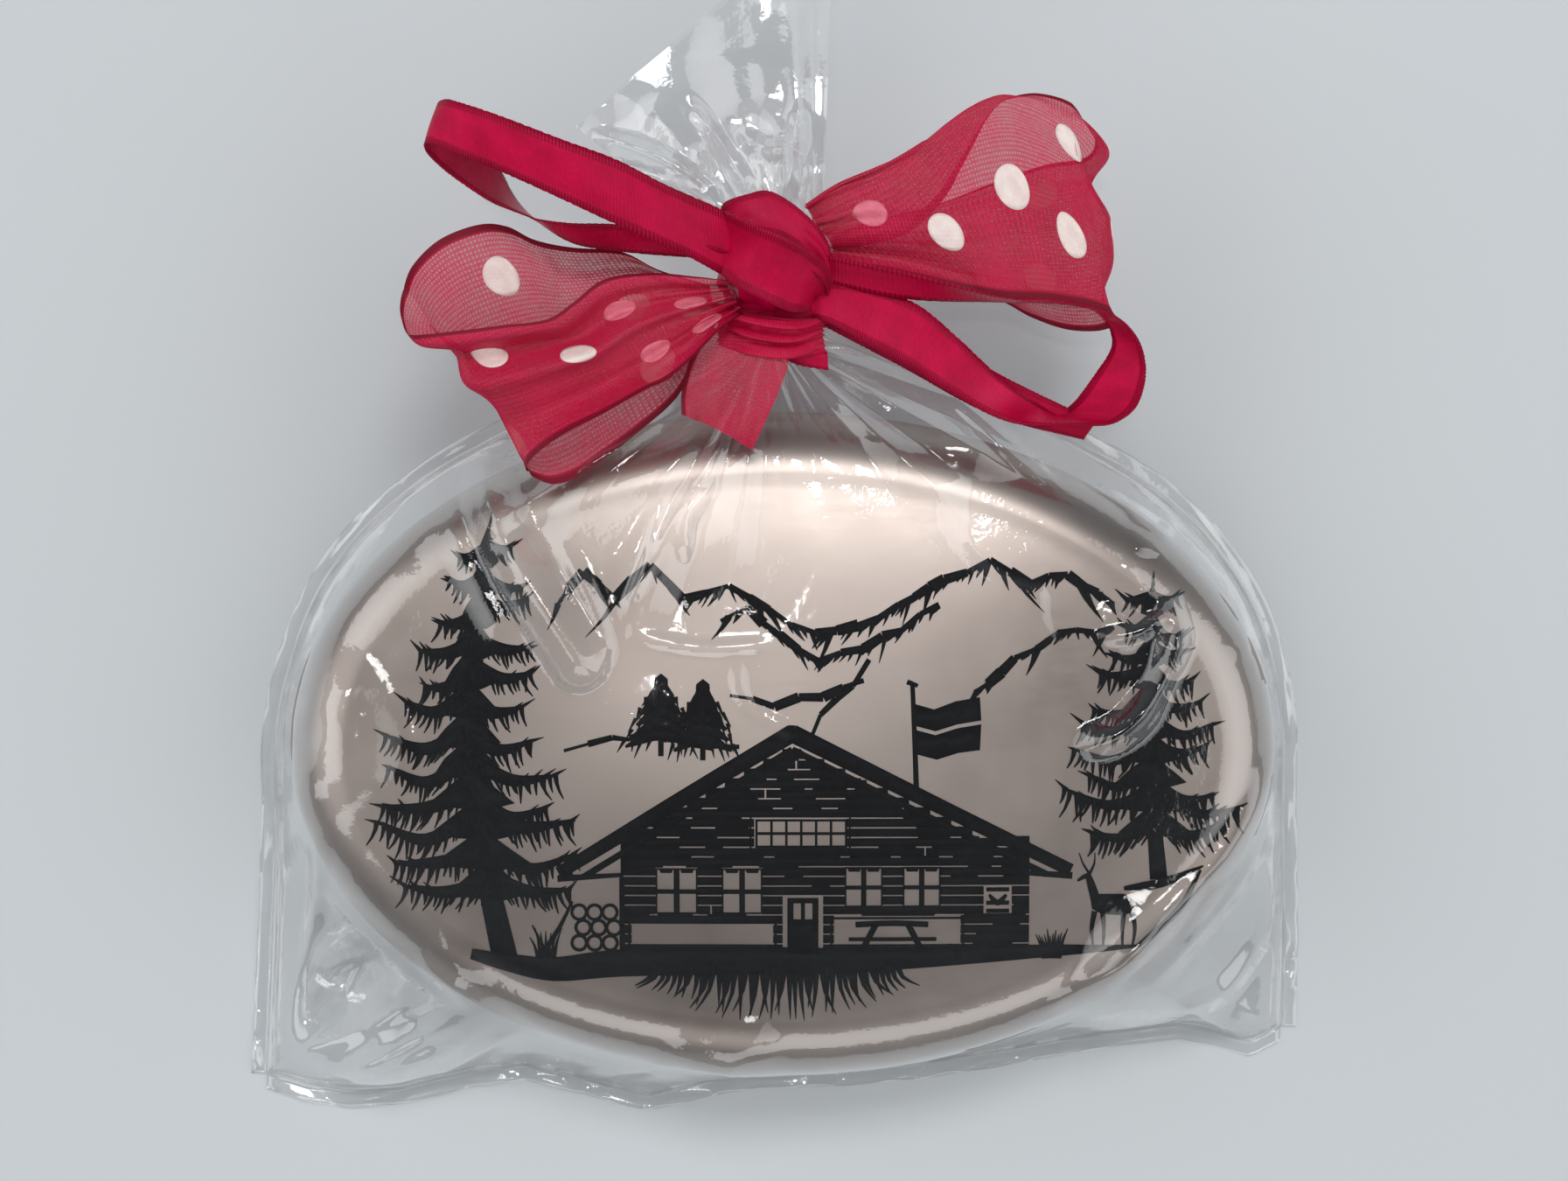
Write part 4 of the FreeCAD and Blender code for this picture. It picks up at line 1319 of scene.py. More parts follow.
@dataclass
class FilmBag:
    """A clear bag pulled tight over the soap, gathered to a neck and open above it."""

    soap: Soap
    finishes: Finishes
    clear: float = 0.35
    table_gap: float = 0.06
    lowest: float = 0.02
    skin_gap: float = 0.12
    fold_sag: float = 2.6
    back_wrinkle: float = 0.12
    weld_width: float = 1.2
    weld_thickness: float = 0.07
    mouth_depth: float = 2.6
    mouth_half: float = 4.0
    mouth_height: float = 11.0
    neck_start: float = 31.0
    neck_length: float = 8.0
    neck_radius: float = 2.2
    crown_fall: float = 3.0
    crown_lowest: float = 5.5
    flat_width: float = 82.0
    flat_length: float = 72.0
    steps: int = 250
    left: Route = field(default_factory=lambda: Route(SIDE_LEFT))
    right: Route = field(default_factory=lambda: Route(SIDE_RIGHT))

    def flat_point(self, share: float, across: float) -> Vector:
        """A point of the bag's outline, filled in as one sheet.

        Args:
            share: of the way from the fold to the neck.
            across: of the way from left to right.

        Returns:
            The point.
        """
        point = self.left.at(share).lerp(self.right.at(share), across)
        sag = self.fold_sag * math.sin(math.pi * across)
        point.y += (float(np.interp(across, *zip(*FOLD_WAVE))) - sag) * (1 - share) ** 6
        return point

    def outline(self) -> list[Vector]:
        """The closed outline of the bag.

        Returns:
            Its corners: along the fold, up the right side, down the left.
        """
        shares = [step / 60 for step in range(61)]
        fold = [self.flat_point(0, share) for share in shares]
        sides = [self.right.at(share) for share in shares]
        return fold[:-1] + sides + [self.left.at(share) for share in shares][::-1]

    def build(self) -> None:
        """Makes the walls, welds, fold, neck and crown."""
        front = self.wall("film_front", Facing.FRONT, "bag_front_panel")
        back = self.wall("film_back", Facing.BACK, "bag_back_panel")
        joints = [self.weld("film_weld_left", self.left, -1, "bag_weld_left"),
                  self.weld("film_weld_right", self.right, 1, "bag_weld_right"),
                  self.fold_strip(), self.neck()]
        front_crown = self.crown("film_crown_front", 0.9, 31, ("bag_crown",))
        back_crown = self.crown("film_crown_back", -0.9, 47, ())

    def edge_table(self, facing: Facing) -> dict[str, np.ndarray]:
        """Where the outline lies in every direction, and how the film leaves the metal there.

        Args:
            facing: the wall.

        Returns:
            Arrays over the directions, each sorted by its angle.
        """
        around = self.outline()
        steps = np.linspace(0, 1, 61)
        table: dict[str, list[float]] = {key: [] for key in
                                         ("angle", "far", "rim", "depth", "edge", "slope", "touch")}
        for before, after in zip(around, around[1:]):
            for share in (0.0, 0.5):
                point = before.lerp(after, share)
                angle = math.atan2(point.y, point.x)
                rim, depth, far = self.soap.rim(angle), self.soap.depth(angle), point.xy.length
                lift = 0.0
                if point.y > self.neck_start - 0.01:
                    lift = self.mouth_depth * (1 - ((point.x - NECK_X) / self.mouth_half) ** 2)
                edge = facing.value * (point.z - self.soap.middle) + lift
                heights = [self.soap.metal_height(step, depth) + self.clear for step in steps]
                slope, touch = max(((height - edge) / (far - rim * step), step)
                                   for step, height in zip(steps, heights))
                for key, value in zip(table, (angle, far, rim, depth, edge, slope, touch)):
                    table[key].append(value)
        order = np.argsort(table["angle"])
        return {key: np.array(values)[order] for key, values in table.items()}

    def heights(self, x: np.ndarray, y: np.ndarray, facing: Facing) -> np.ndarray:
        """Height above the table of film pulled tight between the soap and the outline.

        Args:
            x: places across.
            y: places along.
            facing: the wall.

        Returns:
            A height for each place.
        """
        table = self.edge_table(facing)
        angle, here = np.arctan2(y, x), np.hypot(x, y)
        at = {key: np.interp(angle, table["angle"], table[key], period=2 * math.pi)
              for key in table if key != "angle"}
        share = np.clip(here / at["rim"], 0, 1)
        half = self.soap.height / 2
        brow = 1 - self.soap.crown_rise / half
        inner = 1 - self.soap.shoulder / at["depth"]

        def crown(part: np.ndarray) -> np.ndarray:
            """The metal's dome, for many shares at once."""
            return half * np.sqrt(1 - (1 - brow * brow) * part * part)

        fall = np.clip(self.soap.shoulder - (1 - share) * at["depth"], 0, self.soap.shoulder)
        metal = np.where(share < inner, crown(share), crown(np.minimum(share, inner))
                         - self.soap.shoulder + np.sqrt(self.soap.shoulder ** 2 - fall ** 2))
        tight = at["edge"] + at["slope"] * np.maximum(at["far"] - here, 0)
        height = np.where(here <= at["rim"] * at["touch"], metal + self.clear, tight)
        return self.soap.middle + facing.value * height

    def wall(self, name: str, facing: Facing, node: str) -> Piece:
        """One wall of the bag as a fine sheet with its folds.

        Args:
            name: the piece's name.
            facing: above or below the soap.
            node: the CAD node that it stands for.

        Returns:
            The piece.
        """
        bm = bmesh.new()
        made = unit_grid(bm, self.steps, self.steps)
        flat = [self.flat_point(1 - (1 - share) ** 1.15, across) for _, across, share in made]
        x, y = np.array([p.x for p in flat]), np.array([p.y for p in flat])
        rails = np.array([p.z for p in flat])
        z = self.heights(x, y, facing)
        rim = np.array([min(across, 1 - across, share) for _, across, share in made])
        mouth = np.array([share for *_, share in made])
        inside = eased(rim, 0.0, 0.02)
        if facing is Facing.FRONT:
            floor = z - self.clear + self.skin_gap
            z = z + inside * self.folds(x, y)
            on_soap = eased(self.soap_share(x, y), 1.04, 0.98)
            z = np.where(on_soap > 0, np.maximum(z, floor), z)
            z = np.maximum(z, rails * (1 - inside) + inside * (rails * 0.4 + self.table_gap))
        else:
            lifted = eased(y, 2.0, 22.0)
            z = self.table_gap + np.maximum(z - self.table_gap, 0) * lifted
            z = z + inside * self.back_wrinkle * self.crumple(x, y, (0.0, 22.0), 30.0, 8, 21)
            z = np.clip(z, self.table_gap, None)
            under = self.soap.middle * 2 - np.array([self.soap.top(a, b) for a, b in zip(x, y)])
            z = np.where(self.soap_share(x, y) < 1, np.minimum(z, under - self.skin_gap), z)
            z = np.maximum(z, self.lowest)
        hem = 1 - eased(rim, 0.0, 0.012)
        z = z * (1 - hem) + (rails + 0.1) * hem
        top = mouth > 0.9999
        bulge = facing.value * self.mouth_depth * np.sin(np.pi * np.array([a for _, a, _ in made]))
        z = np.where(top, rails + bulge, z)
        for (vert, *_), a, b, c in zip(made, x, y, z):
            vert.co = (a, b, c)
        return finish_piece(bm, name, self.finishes.film, (node,))

    def strip(self, name: str, node: str, inner: Callable[[float], Vector],
              outer: Callable[[float], Vector], waves: float, seed: int) -> Piece:
        """A welded double strip of film between two lines, slightly waved.

        Args:
            name: the piece's name.
            node: the CAD node that it stands for.
            inner: the line at the bag, by its share.
            outer: the line at the cut edge, by its share.
            waves: height of its waves.
            seed: which waves.

        Returns:
            The piece.
        """
        bm = bmesh.new()
        for vert, run, over in unit_grid(bm, 160, 4):
            spot = inner(run).lerp(outer(run), over)
            lift = noise.noise(Vector((run * 16, over * 1.3, seed))) * waves * over
            vert.co = spot + Vector((0, 0, self.skin_gap + abs(lift)))
        piece = finish_piece(bm, name, self.finishes.film, (node,))
        return thicken(piece, "double_film", self.weld_thickness)

    def weld(self, name: str, rail: Route, sign: int, node: str) -> Piece:
        """The flat strip where both walls are welded along one side.

        Args:
            name: the piece's name.
            rail: the side it follows.
            sign: -1 on the left, 1 on the right.
            node: the CAD node that it stands for.

        Returns:
            The piece.
        """
        def outer(run: float) -> Vector:
            """The cut edge of the weld.

            Args:
                run: share of the side's length.

            Returns:
                The point.
            """
            ahead = rail.at(min(run + 0.01, 1)) - rail.at(max(run - 0.01, 0))
            away = Vector((ahead.y, -ahead.x, 0)).normalized() * sign
            return rail.at(run) + away * self.weld_width
        return self.strip(name, node, rail.at, outer, 0.9, 5 + sign)

    def fold_strip(self) -> Piece:
        """The pressed fold along the bottom of the bag.

        Returns:
            The piece.
        """
        def inner(run: float) -> Vector:
            """The fold where it meets the bag."""
            return self.flat_point(0, run)

        def outer(run: float) -> Vector:
            """The fold's outer edge."""
            return self.flat_point(0, run) - Vector((0, self.weld_width, 0))
        return self.strip("film_bottom_fold", "bag_bottom_fold", inner, outer, 0.7, 9)

    def neck(self) -> Piece:
        """The gathered neck under the ribbons.

        Returns:
            The piece.
        """
        bm = bmesh.new()
        middle = Vector((NECK_X, 0.0, NECK_Z))
        for vert, turn, run in unit_grid(bm, 120, 24):
            angle = 2 * math.pi * turn
            open_share = abs(2 * run - 1) ** 2
            wide = self.neck_radius + (self.mouth_half - self.neck_radius) * open_share
            deep = self.neck_radius + (self.mouth_depth - self.neck_radius) * open_share
            pleat = 1 + 0.1 * math.sin(13 * angle + 1.0) + 0.05 * math.sin(22 * angle)
            vert.co = middle + Vector((wide * pleat * math.cos(angle),
                                       self.neck_start + self.neck_length * run,
                                       deep * pleat * math.sin(angle)))
        bmesh.ops.remove_doubles(bm, verts=bm.verts, dist=0.001)
        bmesh.ops.recalc_face_normals(bm, faces=bm.faces)
        return finish_piece(bm, "film_neck", self.finishes.film, ("bag_neck",))

    def crown(self, name: str, lift: float, seed: int, nodes: Sequence[str]) -> Piece:
        """One wall of the open mouth, pleated at the tie and flaring out above it.

        Args:
            name: the piece's name.
            lift: how far it lies above the middle of the mouth, or below it.
            seed: which creases it has.
            nodes: CAD nodes that it stands for.

        Returns:
            The piece.
        """
        bm = bmesh.new()
        made = unit_grid(bm, 110, 90)
        over, out = (np.array([spot[i] for spot in made]) for i in (1, 2))
        near_x = NECK_X + (2 * over - 1) * self.mouth_half
        near_y = np.full_like(over, self.neck_start + self.neck_length)
        far_x = CROWN_CORNERS[0][0] * (1 - over) + CROWN_CORNERS[1][0] * over
        far_y = CROWN_CORNERS[0][1] * (1 - over) + CROWN_CORNERS[1][1] * over
        x, y = near_x + (far_x - near_x) * out, near_y + (far_y - near_y) * out
        draw = random.Random(seed)
        pleats = sum(draw.uniform(0.5, 1.0) * np.sin((5 + 4 * i) * over * 2 + draw.uniform(0, 6))
                     / (1 + 0.4 * i) for i in range(5))
        z = self.mouth_height - self.crown_fall * out + lift * np.sin(np.pi * over) * (0.6 + 0.9 * out)
        z = z + 0.75 * pleats * np.exp(-out * 2.6)
        for middle, reach, rise in CROWN_CRUMPLES:
            z = z + rise * self.crumple(x, y, middle, reach, 8, seed + int(reach))
        for fold in CROWN_FOLDS:
            z = z + np.sign(lift) * self.crease(x, y, fold)
        for (vert, *_), a, b, c in zip(made, x, y, z):
            vert.co = (a, b, max(c, self.crown_lowest))
        return finish_piece(bm, name, self.finishes.film, nodes)

    def soap_share(self, x: np.ndarray, y: np.ndarray) -> np.ndarray:
        """How far out a place lies, where the soap's rim is 1."""
        return np.hypot(2 * x / self.soap.length, 2 * y / self.soap.width)

    def crumple(self, x: np.ndarray, y: np.ndarray, middle: Flat, reach: float, lines: int,
                seed: int) -> np.ndarray:
        """Flat facets between straight creases, strongest at a middle and gone at a reach.

        Args:
            x: places to work out.
            y: the same.
            middle: centre of the crumpled patch.
            reach: its radius.
            lines: how many creases cross it.
            seed: which creases.

        Returns:
            Heights of about one millimetre.
        """
        draw = random.Random(seed)
        total = np.zeros_like(x)
        for _ in range(lines):
            angle, offset = draw.uniform(0, math.pi), draw.uniform(-0.7, 0.7) * reach
            away = (x - middle[0]) * math.cos(angle) + (y - middle[1]) * math.sin(angle) - offset
            total += draw.choice((-1, 1)) * (np.sqrt(away ** 2 + 0.02) - abs(offset)) / reach
        out = np.hypot(x - middle[0], y - middle[1]) / reach
        return total * eased(out, 1.0, 0.35)

    def crease(self, x: np.ndarray, y: np.ndarray, fold: Fold) -> np.ndarray:
        """Heights that a fold adds.

        Args:
            x: places across.
            y: places along.
            fold: the fold.

        Returns:
            A height for each place.
        """
        route = Route([(a, b, 0.0) for a, b in fold.path])
        spots = np.array([tuple(route.at(i / 80))[:2] for i in range(81)])
        away = np.hypot(x[:, None] - spots[:, 0], y[:, None] - spots[:, 1])
        run = away.argmin(axis=1) / 80
        fade = eased(run, 0.0, 0.25)
        if not fold.blunt:
            fade = fade * eased(run, 1.0, 0.75)
        return fold.rise * fade * np.clip(1 - away.min(axis=1) / fold.half, 0, 1) ** fold.sharp

    def panels(self, x: np.ndarray, y: np.ndarray) -> np.ndarray:
        """Flat panels that fan out from the neck, with ridges between them.

        Args:
            x: places across.
            y: places along.

        Returns:
            A height for each place.
        """
        from_neck = np.hypot(x - NECK_FAN[0], y - NECK_FAN[1])
        angle = np.degrees(np.arctan2(x - NECK_FAN[0], NECK_FAN[1] - y))
        ridges = np.interp(angle, *zip(*NECK_PANELS))
        reach = eased(from_neck, 1.0, 9.0) * eased(from_neck, 30.0, 13.0)
        pleats = np.abs(np.sin(np.radians(angle) * 8.5 + 0.4)) + 0.6 * np.abs(
            np.sin(np.radians(angle) * 13.5 + 2.0))
        return ridges * reach + 0.6 * pleats * np.exp(-from_neck / 7.0) * eased(from_neck, 1, 4)

    def folds(self, x: np.ndarray, y: np.ndarray) -> np.ndarray:
        """All that makes the front wall look like pulled film.

        Args:
            x: places across.
            y: places along.

        Returns:
            A height for each place.
        """
        total = self.panels(x, y)
        for fold in FRONT_FOLDS:
            total += self.crease(x, y, fold)
        for middle, reach, lines, rise, seed in FRONT_CRUMPLES:
            total += rise * self.crumple(x, y, middle, reach, lines, seed)
        return total



# ------------------------------------------------------------------ ribbons


@dataclass
class Ribbon:
    """A stretch of ribbon that lies along two or more lines drawn over its length.

    rails pairs each line with its share of the ribbon's width, from one edge to the other.
    """

    name: str
    rails: Sequence[tuple[float, Sequence[Point]]]
    width: float
    along: int = 120
    across: int = 24
    gathers: int = 0
    gather_fill: float = 0.9
    bulge: float = 0.0
    ripple: float = 0.0
    picot: float = 0.0
    picot_pitch: float = 0.42
    seed: int = 1

    def __post_init__(self) -> None:
        """Works out the surface once."""
        self.routes = [(share, Route(points)) for share, points in self.rails]
        self.length = sum(route.length() for _, route in self.routes) / len(self.routes)
        self.points = self.shape()

    def cross(self, run: float) -> Callable[[float], Vector]:
        """The line across the ribbon at a share of its length.

        Args:
            run: share of the length.

        Returns:
            The point for a share of the width.
        """
        spots = [(share, route.at(run)) for share, route in self.routes]

        def at(over: float) -> Vector:
            """The point on straight pieces between the lines.

            Args:
                over: share of the width.

            Returns:
                The point.
            """
            for (low, first), (high, second) in zip(spots, spots[1:]):
                if over <= high or high == spots[-1][0]:
                    return first.lerp(second, (over - low) / (high - low))
            return spots[-1][1]

        if len(spots) == 2:
            return at
        ends = Route([point for _, point in spots])
        stops = [share for share, _ in spots]

        def curved(over: float) -> Vector:
            """The point on a smooth curve through the lines.

            Args:
                over: share of the width.

            Returns:
                The point.
            """
            index = next((i for i in range(len(stops) - 1) if over <= stops[i + 1]), len(stops) - 2)
            part = (over - stops[index]) / (stops[index + 1] - stops[index])
            return ends.at((index + part) / (len(stops) - 1))

        return curved

    def shape(self) -> np.ndarray:
        """The surface as a grid of points, with its gathers, bulge and small waves.

        Returns:
            The points, by length and then by width.
        """
        rows = []
        for step in range(self.along + 1):
            across = self.cross(step / self.along)
            rows.append([tuple(across(i / self.across)) for i in range(self.across + 1)])
        points = np.array(rows)
        normal = np.cross(np.gradient(points, axis=0), np.gradient(points, axis=1))
        normal /= np.linalg.norm(normal, axis=2, keepdims=True) + 1e-9
        run = np.linspace(0, 1, self.along + 1)[:, None]
        over = np.linspace(0, 1, self.across + 1)[None, :]
        lift = self.bulge * np.sin(math.pi * over)
        if self.gathers:
            spread = np.linalg.norm(np.diff(points, axis=1), axis=2).sum(axis=1)[:, None]
            depth = (self.gather_fill * np.sqrt(np.maximum(spread * (self.width - spread), 0))
                     / (math.pi * self.gathers))
            phase, turn = self.seed * 1.7, 2 * math.pi * self.gathers * over
            broad = np.sin(turn + phase + 1.5 * run) + 0.35 * np.sin(turn * 1.7 + 2.3 * phase)
            fine = 0.4 * (np.sin(turn * 2.6 + 1.9 * phase + 2.0 * run)
                          + 0.5 * np.sin(turn * 4.3 + phase))
            at_knot = np.abs(2 * run - 1) ** 3
            lift = lift + depth * (broad * (1 - at_knot) + fine * at_knot)
        if self.ripple:
            lift = lift + self.ripple * np.array([[noise.noise(Vector(
                (x * self.length / 5, y * self.width / 5, self.seed * 3.1)))
                for y in over[0]] for x in run[:, 0]])
        points = points + normal * lift[:, :, None]
        if self.picot:
            beat = np.abs(np.sin(run[:, 0] * self.length * math.pi / self.picot_pitch))
            for edge, inner in ((0, 1), (-1, -2)):
                outward = points[:, edge] - points[:, inner]
                outward /= np.linalg.norm(outward, axis=1, keepdims=True) + 1e-9
                points[:, edge] += outward * (self.picot * beat)[:, None]
        return points

    def spot(self, run: float, over: float, above: float = 0.0) -> Vector:
        """A point on the ribbon, or just above it, from shares of its length and width.

        Args:
            run: share of the length.
            over: share of the width.
            above: how far over the cloth.

        Returns:
            The point.
        """
        a = min(max(run, 0.0), 1.0) * self.along
        b = min(max(over, 0.0), 1.0) * self.across
        i, j = min(int(a), self.along - 1), min(int(b), self.across - 1)
        p, q = a - i, b - j
        grid = self.points
        point = ((grid[i, j] * (1 - p) + grid[i + 1, j] * p) * (1 - q)
                 + (grid[i, j + 1] * (1 - p) + grid[i + 1, j + 1] * p) * q)
        normal = np.cross(grid[i + 1, j] - grid[i, j], grid[i, j + 1] - grid[i, j])
        return Vector(point) + Vector(normal).normalized() * above

    def build(self, material: Material, slot: Slot, replaces: Sequence[str] = (),
              thickness: float = 0.0) -> Piece:
        """Makes the stretch.

        Args:
            material: its finish.
            slot: not used.
            replaces: CAD nodes that it stands for.
            thickness: of the cloth, or 0 for a single surface.

        Returns:
            The piece.
        """
        bm = bmesh.new()
        flat = {}
        for vert, run, over in unit_grid(bm, self.along, self.across):
            i, j = round(run * self.along), round(over * self.across)
            vert.co = self.points[i, j]
            flat[vert] = (run * self.length, over * self.width)
        lay_uv(bm, flat)
        piece = finish_piece(bm, self.name, material, replaces)
        return thicken(piece, "cloth", thickness) if thickness else piece

    def dots(self, name: str, material: Material, places: Sequence[Flat],
             radius: float = 1.25) -> Piece:
        """Printed dots on this stretch.

        Args:
            name: the piece's name.
            material: the print's finish.
            places: of the dots' middles, along and across in millimetres.
            radius: of a dot.

        Returns:
            One piece with all the dots.
        """
        bm = bmesh.new()
        flat = {}
        for along, across in places:
            run, over = along / self.length, across / self.width
            stretch = (self.spot(run + 0.02, over) - self.spot(run - 0.02, over)).length
            wide = radius * min(max(0.04 * self.length / stretch, 0.8), 1.35)
            for vert, a, b in unit_grid(bm, 8, 8):
                u, v = 2 * a - 1, 2 * b - 1
                spot = (along + wide * u * math.sqrt(1 - v * v / 2),
                        across + radius * v * math.sqrt(1 - u * u / 2))
                vert.co = self.spot(spot[0] / self.length, spot[1] / self.width)
                flat[vert] = spot
        lay_uv(bm, flat)
        return thicken(finish_piece(bm, name, material), "print", PRINT_LAYER)


# The lines that each stretch of ribbon follows, each with its share of the ribbon's width.
ORGANZA_LEFT = [
    (0.0, [(-5.4, 34.3, 16.6), (-9.1, 35.4, 17), (-11.9, 36.7, 17.4), (-15.6, 37.0, 17.8),
           (-18.3, 37.5, 18.3), (-20.3, 38.4, 18.8), (-22.3, 38.5, 19.2), (-25.0, 37.4, 19.8),
           (-26.9, 35.5, 20.4), (-27.6, 33.6, 21.4), (-27.4, 31.8, 22.4), (-26.2, 30.4, 23),
           (-23.0, 30.5, 23.3), (-20.1, 30.8, 23.4), (-17.0, 31.2, 23.2), (-15.2, 32.4, 22.8),
           (-13.0, 34.1, 22.2), (-9.6, 34.7, 21.4), (-6.2, 34.5, 20.8), (-4.0, 34.3, 20.2)]),
    (1.0, [(-5.0, 31.8, 15.6), (-5.6, 30.6, 15.4), (-6.2, 29.5, 15.4), (-7.8, 26.1, 15.8),
           (-11.0, 23.2, 16.3), (-13.3, 21.4, 16.7), (-15.1, 20.1, 17.2), (-16.8, 19.5, 17.8),
           (-18.0, 19.8, 18.5), (-18.5, 20.4, 19.3), (-18.2, 21.4, 20.2), (-16.9, 22.6, 20.9),
           (-15.3, 23.6, 21.3), (-13.0, 24.7, 21.5), (-10.7, 26.0, 21.4), (-9.6, 26.5, 21.2),
           (-8.5, 27.0, 21), (-6.7, 28.6, 20.6), (-4.9, 30.5, 20.2), (-3.0, 32.0, 19.8)])]
# Middles of the printed dots, along each loop and across it.
DOTS_LEFT = [(2.2, 10.6), (6.6, 7.0), (7.4, 12.7), (14.7, 3.3), (20.6, 13.2), (29.2, 5.0),
             (34.4, 7.0)]
DOTS_RIGHT = [(9.1, 12.0), (15.9, 10.0), (21.9, 12.0), (24.2, 5.3), (30.0, 9.6), (36.0, 4.0),
              (37.0, 11.8), (41.8, 8.0)]
# The same for dots on the cloth's other face, which the weave veils.
VEILED_LEFT = [(39.8, 4.6), (40.4, 12.0), (43.9, 6.6), (44.6, 12.6)]
VEILED_RIGHT = [(4.4, 10.3)]
ORGANZA_RIGHT = [
    (0.0, [(3.7, 36.9, 18.4), (6.0, 37.1, 18.5), (9.2, 38.1, 18.8), (11.7, 40.5, 19),
           (13.3, 43.1, 19.4), (14.7, 45.6, 20), (15.8, 47.2, 20.8), (17.0, 47.7, 21.2),
           (18.7, 47.8, 21.2), (21.1, 47.1, 21), (22.5, 45.6, 20.4), (23.1, 44.5, 19.2),
           (22.2, 43.5, 18.2), (19.4, 43.1, 17.7), (15.5, 41.8, 17.3), (11.4, 40.2, 17.2),
           (7.0, 39.1, 17.2), (3.7, 38.0, 17.4)]),
    (0.3, [(1.6, 39.9, 19.8), (3.9, 41.2, 20.5), (6.7, 42.3, 20.9), (9.1, 43.4, 21.1),
           (11.2, 44.7, 21.3), (13.8, 46.0, 21.5), (15.9, 46.5, 21.8), (17.6, 46.0, 22.1),
           (19.2, 45.3, 22.2), (21.3, 44.0, 21.9), (22.9, 42.5, 21), (23.4, 41.5, 19.2),
           (22.2, 40.6, 18), (19.4, 40.2, 17.4), (15.5, 39.5, 17), (11.4, 38.7, 16.9),
           (7.0, 38.1, 17), (3.7, 37.5, 17.2)]),
    (1.0, [(3.7, 36.0, 19.2), (5.9, 35.4, 19.4), (9.2, 34.7, 19.7), (12.5, 33.9, 19.9),
           (15.7, 33.2, 20), (17.3, 33.0, 20), (19.2, 32.9, 19.9), (20.8, 32.7, 19.8),
           (22.3, 32.5, 19.6), (24.1, 32.0, 19.2), (24.6, 31.6, 18.4), (24.5, 31.2, 17.3),
           (23.2, 30.9, 16.6), (21.0, 31.1, 16.1), (18.5, 32.0, 16), (16.0, 33.3, 16.2),
           (10.2, 35.2, 16.6), (3.7, 36.4, 17)])]
SATIN_LEFT = [
    (0.0, [(-3.0, 38.2, 21.2), (-4.3, 39.1, 22.2), (-8.3, 40.6, 24.6), (-11.8, 42.2, 26),
           (-15.7, 43.5, 27.2), (-19.9, 45.0, 28), (-22.7, 45.9, 28.2), (-23.9, 46.2, 27.6),
           (-24.5, 45.9, 26.2), (-23.5, 44.6, 23.8), (-22.0, 43.4, 22), (-20.7, 42.3, 21),
           (-19.9, 40.8, 20.5), (-19.1, 39.7, 20.2), (-17.9, 38.7, 20.1), (-15.4, 37.1, 20.1),
           (-12.6, 36.5, 20.2), (-7.6, 36.1, 20.3), (-4.9, 36.0, 20.3), (-3.4, 35.8, 19.6)]),
    (1.0, [(-3.1, 34.2, 20.2), (-4.5, 34.7, 21), (-7.1, 35.9, 22.8), (-11.9, 37.8, 25.2),
           (-15.8, 39.5, 26.4), (-19.3, 41.0, 27.2), (-22.5, 42.3, 27.6), (-25.0, 43.3, 27.1),
           (-25.4, 43.0, 26), (-24.8, 42.3, 25), (-23.5, 41.3, 24.2), (-21.2, 39.8, 23.4),
           (-19.7, 39.1, 23.1), (-18.5, 38.7, 23), (-17.4, 38.4, 22.9), (-15.2, 38.1, 22.9),
           (-12.0, 38.0, 22.9), (-8.4, 37.5, 22.6), (-4.8, 36.4, 22), (-3.4, 36.2, 20.4)])]
SATIN_RIGHT = [
    (0.0, [(2.1, 36.2, 19.8), (3.6, 35.9, 20.6), (9.1, 34.7, 21), (15.7, 33.1, 20.6),
           (19.1, 32.9, 20.4), (22.0, 32.5, 20.1), (24.5, 31.7, 19.5), (26.1, 30.2, 18.9),
           (26.7, 28.2, 18.6), (26.5, 26.3, 18.4), (25.8, 24.9, 18.3), (24.3, 24.0, 18.4),
           (22.4, 23.8, 18.7), (20.5, 23.8, 19), (17.5, 23.9, 18.4), (15.0, 24.8, 17.9),
           (12.2, 26.5, 17.8), (9.3, 28.3, 18), (6.6, 29.7, 18.4), (3.7, 31.2, 19),
           (1.8, 32.0, 18.4)]),
    (1.0, [(2.1, 34.6, 18.5), (3.6, 34.2, 19), (9.5, 33.1, 18.5), (15.9, 33.0, 18),
           (19.4, 33.0, 17.8), (22.5, 32.6, 17.6), (23.8, 31.7, 17.4), (24.4, 30.6, 17.2),
           (24.3, 29.4, 17.2), (23.0, 27.4, 17.2), (21.9, 25.9, 17.1), (21.2, 25.2, 16.7),
           (20.9, 24.9, 16.4), (20.2, 24.8, 16.4), (18.4, 25.7, 17), (15.7, 27.7, 17.6),
           (13.0, 30.2, 17.9), (10.1, 32.6, 18.1), (7.0, 33.8, 18.5), (3.7, 34.2, 19),
           (2.0, 34.0, 18.5)])]
KNOT_WRAP = [
    (0.0, [(-4.3, 39.1, 22.2), (-2.1, 37.9, 23.6), (0.4, 36.8, 23.9), (2.5, 35.7, 22.9),
           (3.5, 34.7, 21.3), (3.5, 33.8, 19.4), (2.7, 33.0, 17.6)]),
    (1.0, [(-4.5, 34.7, 21), (-3.3, 33.6, 21.9), (-1.4, 32.7, 21.9), (0.3, 32.0, 21.2),
           (1.4, 32.0, 20.2), (2.1, 32.2, 18.9), (2.1, 32.5, 17.4)])]
